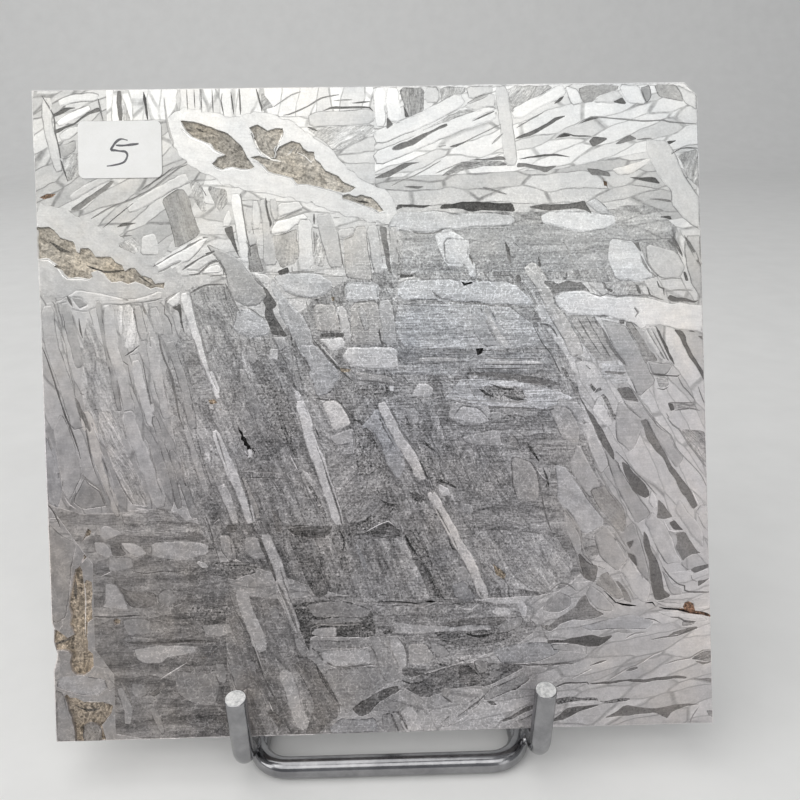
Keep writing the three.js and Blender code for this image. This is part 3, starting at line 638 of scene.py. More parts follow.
# %% The right side
RIGHT_SIDE = """
haze @0 | 85.4,75 89.4,74.2 92.4,68.9 90,68.1 86.5,68.4 85.2,71
seam .22 | 78.5,74.3 79.1,73.3 79.6,71.5 80,70.8
wedge .4 | 89.2,74 89.8,74 90.2,72.8
seam .15 | 90.2,72.8 90.7,71 91.6,69.7 92.7,68.8
light | 91,74 96,72.6 97,70 96.4,68.7 93.4,68.5 91.2,70.6
seam .28 | 95.2,75 96.2,73.2 96.7,72.1
light | 97,75 99.8,75 100.2,66 99.4,65.4 98,67.5 97.3,70
seam .22 | 97,75 98,73.4 99,71.6 99.8,69.5
seam .2 | 93.3,68.4 94.2,68.5 95,68.6 96.5,68.5
wedge | 96.8,69.6 97.2,69.5 97.6,68.1 97.2,68.1
seam .25 | 94,66.6 96,66.8 98.2,66.7
wedge | 94.3,65.5 94.7,66.1 95.8,65.6 97,65.5 98.2,65.1 99.2,65.2 98.5,64.8 97,65 95,65
seam .25 | 82.6,66.5 84,66 85,66.4 86.6,66 88,66.1 91.5,66 93,65.5 93.7,65.3
comb @60 | 84.3,68 89.8,67.6 90.2,66.5 87,66.1 84.9,66.5
wedge | 84.2,68.2 84.6,67.3 85.6,66.5 86,66.9 85,67.3 84.6,68.2
wedge | 89.5,67.7 89.9,67.6 90.3,66.3 89.8,66.4
wedge .25 | 91.2,67.3 91.6,66 92,66
seam .35 | 92.7,68.2 93,67.3 93.7,67 93.8,66
bright +5 | 76.9,66.2 78.5,66.7 80,66.9 81.5,66.9 83,66.2 85,65.9 86.7,65.8 88,66 91,65.8 93,65.2
    94.5,64.9 96.5,64.9 98,64.6 100.4,64.3 100.4,60 98.5,60.5 97,60.6 95.5,60.8 94.5,61.2 93,61.5 91,61.4
    90,61 88.8,61.8 87,62.4 85.5,62.7 84,62.9 82,63 79.3,63.4 78.3,63.8 77.1,65
rough | 89.5,63.4 90.4,63.8 90.8,63.3 90,63
seam .14 | 89.2,64.1 89.7,63.4 89.3,62.8
glint .2 | 83.2,62.75 84.5,62.5 86,62.3
wedge | 86.7,62.4 87.6,62.3 87.5,61.8 86.9,61.8
seam .3 | 83.3,63 84.5,63 85.7,62.8
taupe @-60 | 78.8,63.4 83,63 84,61.5 85.5,58.8 87.1,56.1 83.4,56.2 82.5,57.2 80.3,60.2
seam .4 | 78.2,63.7 79,62.8 80,61 81.5,59
wedge .35 | 82.9,63 83.6,61.4
seam .14 | 80.4,62.9 82,60 84,57
seam .14 | 81.8,62.9 83.4,60 85.2,57
wedge .45 | 84.1,61.3 85,59.5 86,57.6 87.3,56 87.7,55.3
light | 84,62.5 86.6,61.9 88,61.2 89.4,58.5 91,55.5 92.3,52.6 89.5,50.5 88,54 86,58
taupe @-62 | 87.7,62 88.8,61.9 89.6,60.8 91.2,58 92.7,56 91.2,56 90.8,55.6 89.5,58.5
light @-62 | 90.3,60.9 92.3,61.3 93,59.5 94,57.5 95,55.6 93.5,56 92.9,56.2 91.5,58.5
seam .14 | 91,60.8 92.4,58.5 93.8,56
seam .14 | 91.7,61 93,58.5 94.3,56
wedge .35 .45 | 92.4,61.3 93.3,59.5 94.3,57.2 95.2,55.4
light | 91.2,56 95,55.5 94,53.8 91.7,54.1
seam .2 | 91.5,54.1 93,53.8 94.3,53.7 95.7,53.6 96.1,53.9
seam .16 | 95.7,53.6 96.5,52 97.3,51.2 98.2,50
comb @0 | 92.3,53.6 94,53.4 94.3,52.2 92.8,51.8
seam .2 | 92.5,51.8 93.5,51.6 94.3,52
comb @0 | 94.6,49.4 98,49.5 98.8,48.4 95,48.5
seam .22 | 94.3,49.6 96,49.5 98.3,49.6
seam .25 | 95.2,48.4 97.5,48.6 99,48.3
wedge | 94.1,49.5 94.9,49.4 95.3,48.4 94.6,48.3
wedge .4 | 93.9,47.9 94.3,47.2
wedge | 95.2,60.8 96.5,60.5 97,59.8 97.2,58.7 98,57 99,55.2 100.4,53 100.4,52 98.8,54.6 97.5,56.6
    96.5,58.8 96,59.6
wedge | 97.5,60.5 98,60.6 98.6,60.2
wedge | 98.8,59.7 100.4,59.6 100.4,58.6 99.5,59.2
seam .15 | 98.8,52 99.5,50 100.2,48.5
scratch @0 | 84,55.9 87.4,55.4 88,53 86.2,52.6 84,53.6
wedge | 84.3,54.6 85.5,54.5 87,54.4 87.8,54.4 87.2,54 84.6,54.2
rough .6 | 80,56.9 81,56.3
glint .15 | 79.6,56.2 80.4,56
rough .6 | 81.6,55.5 82.3,54.9
rough .7 | 78,55.3 78.8,53.8
rough .7 | 82.2,52.6 83,51.6 83.9,51.9
glint .16 | 82,51.2 82.8,51.4 83.4,52.2
wedge .4 | 79,53.5 79.5,52.5 80.3,51 80.8,50.3
wedge | 81.3,49.3 82,48.6 83.2,46.9 84.2,45.3 85,43.5 85.6,42.3 85.8,40.9 85,41.8 84.2,42.9 83.2,44.6
    82.5,46.4 81.8,47.9
seam .3 | 80.6,50.6 81,49.9 81.6,49
wedge | 86.2,52.1 88.3,52.1 89.6,49.8 88.5,50 87.3,50.2
seam .2 | 87.3,50 88,48.9 89,48 90,47.2
light | 82.3,48.5 83.3,50.8 84,50.9 85.2,48 85.5,46.3 84.5,46
rough .7 | 84,51 84.8,49.5 85.5,48 86.2,47.2
glint .14 | 84.3,49.3 84.6,48.7
light | 77.2,50.6 80,50.2 81.5,48 80.5,45.6 79,47 77,48.4
seam .16 | 88.3,52.3 89.5,50.5 91,48.3 93,45.9 94.5,44.6 95.5,42.4 97.5,40.2 99,38.5 100.2,36
light | 86.5,50 89.8,49.4 92.8,45.8 94.4,44.5 95.3,42.3 96.4,41.2 95.4,39.4 93.5,42 92,44.5 90.8,46.9
    88.4,42 86,44 86,47
wedge | 90,47 90.8,47.1 91.2,46.2 92,44.5 93.5,42 94.5,40 95.2,39.3 96,38 97.2,36.5 98,34.8 98.5,33.7
    97.8,33.2 96.8,34.7 96,35.7 95,38 94,39.3 93.3,41 92,42.3 90.8,44.2 90.3,45.8
glint .18 | 97.6,36.2 98.3,34.6 98.8,33.6
bright | 98.1,32.7 99,33.8 100.4,33.9 100.4,32.3 98.7,32.2
seam .16 | 98.6,32 99.3,30.5 100.3,29.5
comb @-50 | 96,45.5 99.5,45.2 100.4,43.2 100.4,39.8 99,41 97.3,43.4
seam .3 | 94,47.3 94.8,46.2 95.8,45.5 97,43.6 98.5,41.5 100,39.5
wedge | 86.8,40.8 87.8,40.3 88.8,38.7 90.3,37.5 90.9,36.2 91,35.3 90.3,34.9 88.6,36.1 87.8,37.8 87.2,39.3
seam .2 | 86,42.3 87,41.3 88.5,39.5 90,38 91.3,36.5 92.2,35.5
bright | 91.3,36.3 92.2,35.2 92.3,33.8 91.5,33.4 90.9,34.6
wedge | 92.4,34.9 93.2,33.9 94,32.8 94.6,32 93.2,31.7 92.1,31.9 92.2,33
bright .3 | 93.4,31.65 95.2,32
wedge | 94,31.2 95,31.6 95.9,30.3 96.2,30 94.8,30
glint .2 | 93.3,31.5 94,30 94.8,29.8 96,29.9
wedge | 95,29.6 96.5,29.7 97.3,28.3 98.3,26.8 99,26.4 97.5,26.2 96.5,25.6 96.1,25.2 95.4,26.6 95,27.2
    95.3,28.3
wedge | 97.3,23.9 98,24.3 100.4,24.8 100.4,24.3 99,23.6 98,23.2
wedge | 90.1,30 90.6,29.5 91.2,27 92.3,25 92.8,23 93,20.8 94.1,20 93.9,19.6 92.3,19.2 91.6,19.5 91.2,21.5
    90.7,25.5 90,28
wedge | 87.3,28.3 88.5,28.6 88.3,27.8 87.8,27.3
wedge | 87.3,26.8 88.5,26.2 89.1,24.4 88,25.6
taupe | 82,36.5 84.5,37.3 85.2,36 87,33.8 87.5,31 87,30 85.8,30.5 84,32.8 82.5,35
seam .2 | 78.4,40.4 79.5,38.2 80.8,36.5 82.3,34.5 83.8,32.2 85.5,30.6 86.5,29 87.2,27.8
seam .35 | 83,39.6 84.3,37.5 85,36 86,34.7
rough .45 | 77.5,48.3 79,46.7 80.2,44.5 81.2,42.7 82.3,41 83.2,39.3
light | 80.6,46.5 82.2,47.3 84,43 85.4,40.8 83.6,38.8 82.2,41.5
plain | 84.2,43 86,41 88,37.4 89.4,35.2 91.4,32.5 89,31 87.5,34 85.6,37.6
rough .4 | 86.3,40.5 86.7,38 86.9,35.5
plain | 78.6,40 80.2,44 82.8,38.8 84.6,36.4 81.8,35
haze @-25 | 76.6,40.5 78.4,40 81,36 84.4,31.2 81,29.6 78.4,32.4 77,35
seam .35 | 77.5,34 78.7,32.3 80,30.5 80.5,29.3 80.7,27.5 82,25.3
grey | 78,34 79.5,32 80.6,29.5 80.5,27 82.5,24.8 80.8,24.5 79,28 77.8,31
rough .8 | 83.4,27.6 84.6,25.6
light | 84.6,29.6 86,28.8 88,25.4 89.6,22.9 91,21.5 90.8,24 89.8,28 88.6,31.4 86.6,30.2
plain | 82.2,29.6 84.4,31 86.2,28.2 87.6,25.4 86,23.8 83.4,26
"""

# %% The left side of the lower half
LEFT_LOW = """
haze | -0.8,46.6 0,46 0.8,44 1.4,41.4 2,38.6 1.3,35.5 0.3,36 -0.7,37
seam .22 | 0,46.4 0.5,44.5 0.9,43 1.3,41
plain | 0.8,47.6 2,50 3.6,46.6 4.6,42.4 4.9,40.3 3,36.4 2,38.4 1.5,41.6
plain | 5.2,40 6.2,39 7.5,38 8,37 8.5,35.6 5,35.3 3.4,36.4
seam .28 | 5,41 5.2,40.2 6.2,39.2 7.5,38.2 8,37 8.6,35.4
olive 1.9 .9 | 5.6,50 6.6,46.6 7.4,43.2 8.2,40.4 9.1,37.6 10.2,34
seam .28 | 5.1,50 5.8,46.5 6.2,44 6.6,41.8 7,40.6
bright .6 | 8,43.6 8.6,41.5 9.2,39.5 9.9,37.4
glint .18 | 6.6,48.2 7.1,47.1 7.7,45.4
seam .2 | 8.2,42.5 8.8,40 9.3,38 10,36 10.5,34.5
comb @-62 | 7.5,50 9.3,50 10.5,47 12,43 13.5,40 14.5,37 14.6,35.5 12.8,35.6 11.5,37.2 10,40.3 9,43.5
    7.8,46.8
seam .25 | 9.8,41 10.6,39 11.5,37.3 12.6,35.6
light 2.1 | 12,50 12.8,46.5 14.2,43 15.1,40.3 16,37.5 16.6,35.2
grey 1 | 16,49 17,45 18.2,41 19,37.5 19.5,35
seam .28 | 14.3,46.2 15,45 15.4,43 16,41 16.4,39 17.2,37
light 1.2 | 18.4,44 19.2,41.5 20.1,39 21,36 21.8,33.5
seam .2 | 19.7,43 20,42 20.1,40 20.5,38.5
plain 1 | 20.6,47.5 21.6,44 22.6,40.6 23.6,37
seam .16 | 22.2,46 23.2,42 24.4,38
comb @-3 | 10.8,34.3 12.3,35 18,35 19,33.5 22.5,32.5 22.3,31.3 19.8,30.6 17,31 14,31.2 11,31.2 11,33
rough .5 | 17.2,35 17.8,34.3
glint .18 | 13,35.2 14.5,35
light | 7.5,32.3 8.3,32.8 9.6,32.3 10.6,31.6 9.6,31 8.3,30.6 7.4,31.2
light | 6.5,30.2 8,30.2 9,29.2 9.2,28.2 8.2,28 6.8,28.8
taupe | 8.8,29.7 10.3,30 10.6,29.2 11.3,28.3 10.8,28.1 9.2,28.1 9.1,29
light | 10.5,30 12.5,30 13.6,29.5 14.4,28.3 13,28 11.6,28.4 10.9,29.2
plain | 15,30 19.8,30.2 23.6,29.6 23.8,28 19,27.2 15,27.8
plain | 8.8,27.9 12,27.8 12.3,26.2 10,25.8 8.7,25.8
glint .16 | 9,25.8 8.3,25.4 7.5,25.1
seam .2 | 12,25.8 14,25.3 17,25.6 19,25.4 20.4,25.9
light | 22,27 23.3,26.5 23.6,25.9 22.5,26 21.9,26.6
seam .25 | 23.2,34 23.8,32.5 24.3,30.5 24.8,28.5 25.2,27.2
glint .3 | 24.6,32.7 25.4,33.3
seam .25 | -0.6,36.5 0.5,35 1.2,33.5 1.5,32.5
glint .16 | 2.2,37.3 3,36 4,35.3
light | 8,23.9 9.5,23.7 10.5,22.3 11.3,20.8 11.4,19.9 9,20 7.5,20.3 8,22
taupe | 9.7,23.8 11.3,22.8 13.5,22.6 15.5,22.3 15.7,20.5 14,20 11.8,20.3 11.2,21.2 10.5,22.5
plain | 15.8,22 16.8,22.9 18,22.8 18.6,21.2 17.5,20.2 16,20.8
seam .25 | 17.7,23.5 18.5,22.8
seam .3 | 6,19 9,18.8 13.5,19
rough .5 | 19.8,20.1 23,19.6 26.5,19.2
seam .35 | 15,18.5 17,18 20.5,17.8
seam .25 | 11.5,15.7 14.5,15.4
taupe .45 | 11,14.9 15,14.7 20,14.9 25,14.6
plain | 10.5,18.5 14.5,18.3 15,16.2 11.5,15.9 10.8,16.8
light | 12,14 15,14.3 21,14.2 21.3,13.4 20.8,12.9 17,12.5 16.2,11.6 13.5,11.6 12.3,12.6
plain | 22.3,17.3 26.5,17.6 27,16.2 25.5,15.4 23,15.6
haze | 0.5,9.7 2,10 4.5,10 7.5,9.5 8.2,8.3 6.5,6.8 3.5,7.2 1.5,8 0.3,8.5
light | 7.5,9.2 8.5,9.3 9.2,8.2 8.2,7.6
light 1.2 | 9.6,8 10.4,6.5 11,4.5 10.8,2.5
light | 11.5,8.7 13.4,8.5 14,7.3 13.8,6.7 12.3,6.4 11.6,7.3
taupe .45 | 10,8.8 11,7 11.6,5.2
taupe | 14,7 15,7.3 16.5,8.8 16.8,8 15.2,6.6
plain | 18,10.5 24,9.8 24.8,8 24,5 20.5,5.5 18.5,7
light | 24.3,11.3 25.6,11.4 26,10 25.7,8.2 24.7,8.6 24.2,10
glint .2 | 18.3,20.2 19.5,20.6
glint .16 | 16,9.2 19,11 20,11.6
speck .25 | 22.3,12.2 23,12.4
speck .2 | 23.6,12.6 24.2,13.2
plain | -0.4,33.5 1.4,31.6 4,30 3,27 2.6,23 2,19 0.5,18 -0.4,19
plain | 0,8 1.2,7.4 2.2,3.6 3,1.2 3,-0.2 0,-0.2
plain 1 | 14.6,4.8 15.5,2.6 16.2,0.8
"""

# %% The long plates down the middle of the lower half
MIDDLE_LOW = """
crack | 28.5,47.4 28.7,46.4 29,45.9 28.9,45.3 29.4,44.9 29.3,44.4 29.8,44.2 29.8,43.6 30.2,43.9 30.5,43.6
    30.3,44.3 29.9,44.8 29.7,45.5 29.3,45.8 29.2,46.4 28.8,46.8
crack .2 | 30.5,44 30.9,43.4 30.8,42.8
glint | 29.9,43.7 30.5,43.9 30.6,43.2 30.3,42.6 29.8,42.5 30.1,43
glint .2 | 29.5,44.2 29.5,43.5 29.9,42.9
bright +5 1.3 1.5 | 25,46.8 26.2,43.5 27.3,41 28.4,38 29.5,35 30.2,32.6
seam .22 | 25.2,46.3 26.2,42.8 26.9,40
seam .22 | 27.9,42.5 28.8,39.5 29.6,37 30.2,34.5 30.5,33
olive +4 .9 | 29.1,39.5 30,37 30.8,35 31.3,33.3
plain +3 1.3 | 25.8,38.5 27,35.5 27.9,32.5
taupe | 26.2,32.3 28,32.4 27.9,31.3 26.7,31.1
plain | 28.9,50.5 30.8,50.3 31.5,47 30,46 29.5,48
seam .16 | 29,40.5 32,40.3 35.5,40
seam .16 | 30,39.5 33,39.4 36.5,39
bright +6 1.5 1.9 | 37.8,51 38.8,48 39.3,45.5 39.9,43.5 40.8,41 41.8,38 42.7,35 43.6,32
seam .22 | 40.3,44 41.2,42 41.8,39.5 42.6,37 43.5,34 44,31.8
bright | 38,40.5 39,40 39.4,38.8 38.7,39.2
glint .16 | 36.2,43 36.8,41.6 37.5,40.3
rough .6 | 34.6,49 36,45.5 37.4,42
rough .5 | 38.6,39 40,36.5 41.6,33
light +3 | 42.3,45.5 44,46.2 45.8,46.7 46.2,45.5 46,43 45,44.3 43.5,44 42.5,44.8
field @40 | 42,42.5 43.5,44 46,44.5 46.2,41.5 47,39.5 48.5,37.5 50.3,35.2 49.5,33.8 47.5,32.3 46.7,32
    45.3,32 44,34 42.7,38
rough | 46.2,44.8 48,46.7 49.6,44 50.2,41 48,39.5 46.7,40 46.2,42
rough .45 | 45.8,48 47,47.6 48,46.2 48.8,44.7 49.5,43.5
rough | 45,31.8 46.7,32 48.5,33.5 50,34.9 51.5,35 52,34.4 50.5,33 49.5,31.5 48,30.6 45,30.2
comb +6 @0 | 48.3,31 49.6,31.8 51,32.2 52.5,31.2 52.8,30.2 50.5,29.9 48.5,30.2
glint .15 | 47.5,30.8 49,31.6 51,32.4 52,31.6
comb +6 @2 | 35.2,32 37.5,32.2 40.5,31.8 42.5,32 42,30.5 39,29.9 36.5,30.6
taupe | 33.3,34.8 34,34 34.9,32.5 35,31 33.9,31.2 33.5,33
rough .5 | 42.5,31 44,31 44.3,29 43.8,28
light +6 | 31.5,30.8 33,31 34,28.5 35.2,25 36,22 34.5,22 33,26
taupe .35 | 31.3,30.8 32,28.5 33,26 33.7,23.5
plain | 29.2,30.5 31,30.4 31.8,28.3 32.2,27 30.5,27 29,28.5
plain | 25.3,31 27,30.8 27.7,27 26.8,26.7 25.6,28.5
seam .16 | 27.1,29.8 27.5,27.3
rough @0 | 24,26.7 27,26.2 31,26.3 31,25.5 28,24 24.5,24.8
glint .22 | 27.6,23.6 28.8,23.5
field @-70 | 45.5,30 53,29.8 54.6,27 56.4,24.6 58,21.6 58.6,20.2 47,20.6 45,24
haze .6 | 46,29 47,26.5 47.6,24.8
light | 45,24.6 46.6,24.4 46.6,22.6 45.6,22.2
rough | 43,28 44.6,27 45,25 43.8,25
plain 2 | 28.3,22.6 29,19.5 30.3,16.5 31.5,13
light | 32.5,19.7 34,19.5 34.3,18 33,17.8
plain +4 1.3 | 33.5,27 34.3,23.5 35.5,20 36.8,16
light 1.3 | 36.6,14.9 37.6,13 38,12.2
seam .3 | 26.5,22.5 27.3,19.7 28.4,17.7 29.7,14.8 30.6,12 31.4,9.5 32.6,6.8 33.7,4.5
glint .13 | 29.9,15 30.8,12.2 31.6,9.7
seam .2 | 33.8,23.5 35,21 36,18.5 37,15.5
seam .2 | 30.5,20.5 31.5,18 33,15 34,12.5
rough .35 | 36,12.2 37,12.1 38.2,11.8
taupe @-65 | 36.2,11 38.5,11.8 40.5,9.5 42.5,5.5 43,3 41,1.5 39.5,0 37.5,0 39.3,4.5 37.8,8
seam .3 | 39.5,11 40.5,8.5 41.8,6.3 42.8,4.8 43,3.2
plain 2 | 34.5,10 35.8,7 36.5,4 37.8,1
taupe 1 | 32.2,3.8 33.3,2.8 33.9,1.2
light | 26.3,11 28.9,10.8 29.8,7.8 28.5,7 27.3,7.2 26.8,9
seam .22 | 26,10.8 26.6,9 27,7.4
light | 28.9,11.8 30.3,11.5 30.5,9.3 29.5,9
seam .25 | 28.4,13.6 29,11 30,8.8 31.3,6.4
glint .2 | 28.5,2.5 29.3,0.5
glint .16 | 32.3,5.2 32.8,3.8
seam .35 | 43,20.8 46,20.2 50,19.9 53,19.8 56,19.3 58,19.9 60,19.4
crack .16 | 49,20.1 53,20 56,19.5
plain | 38,20 43,20.5 45.5,19.8 48,19 47.5,17.8 43,18 39.5,17.9
rough .35 | 35.8,19.5 38.2,19.5 41,18.6 43,19.6
light | 38.5,17.6 46,18 46.8,17.2 40,16.8
seam .3 | 38.8,15.5 38.9,16.4 40,16.9 43.2,16.7 46.5,16.8
light | 39.5,16.3 42.8,16.4 42.8,15 40,15 38.9,15.6
comb @0 | 43.3,16.5 46.8,16.3 47,14.8 43.3,14.9
light | 39.8,14.4 46.5,14.2 47.5,13.3 44.8,13 42.5,13.2 40.2,13
bright +4 | 40.5,12.9 43,12.8 44.6,12.9 46,13.1 47.6,12.6 48,11.5 47.8,10.9 45,10.6 42.5,10.4 41,11 40.3,12
seam .28 | 42.3,12.8 44.6,13.1 46.5,13.1 47.6,13.3
seam .32 | 40.8,11.2 42.5,10.3 45,10.2 47.8,10.5 48.8,10.5
plain +5 | 41,10 44,10.1 48.7,10.2 49.5,8.5 50.2,7.4 48,6 45.5,4 44,3 43.3,4.8 42,6.5 41,8.5
bright +3 | 47.7,14.6 48.8,15 49.8,14.4 50.5,12.5 51.8,9.5 52,8 50.4,7.6 49.3,9 48.6,11 47.9,13
seam .38 | 50.2,14.8 51,12.5 51.8,10.8 52.4,9
seam .3 | 47.3,13.8 48.3,12.5 48.9,10.5 49.5,8.7 50.4,7.6
rough | 49.7,15.5 51,16 51.3,15.3 50.2,15
rough .45 | 38.9,13.3 40,12.5 40.6,11.3
taupe | 44.8,3.8 46.5,4.8 49.5,6.7 52,7.2 52,6.2 49,4.8 47.5,3 46,2.5
rough .5 | 45.4,3.8 47.4,4.6 50,6 52.4,6.6
bright | 49.3,2.8 51,3.2 52.5,3 53.5,-0.2 49.8,-0.2
seam .2 | 50.8,3 51.4,1.4 52,0
haze | 43,2.4 45.6,2.2 48.4,2.4 48.8,-0.2 42,-0.2 41.4,1
"""

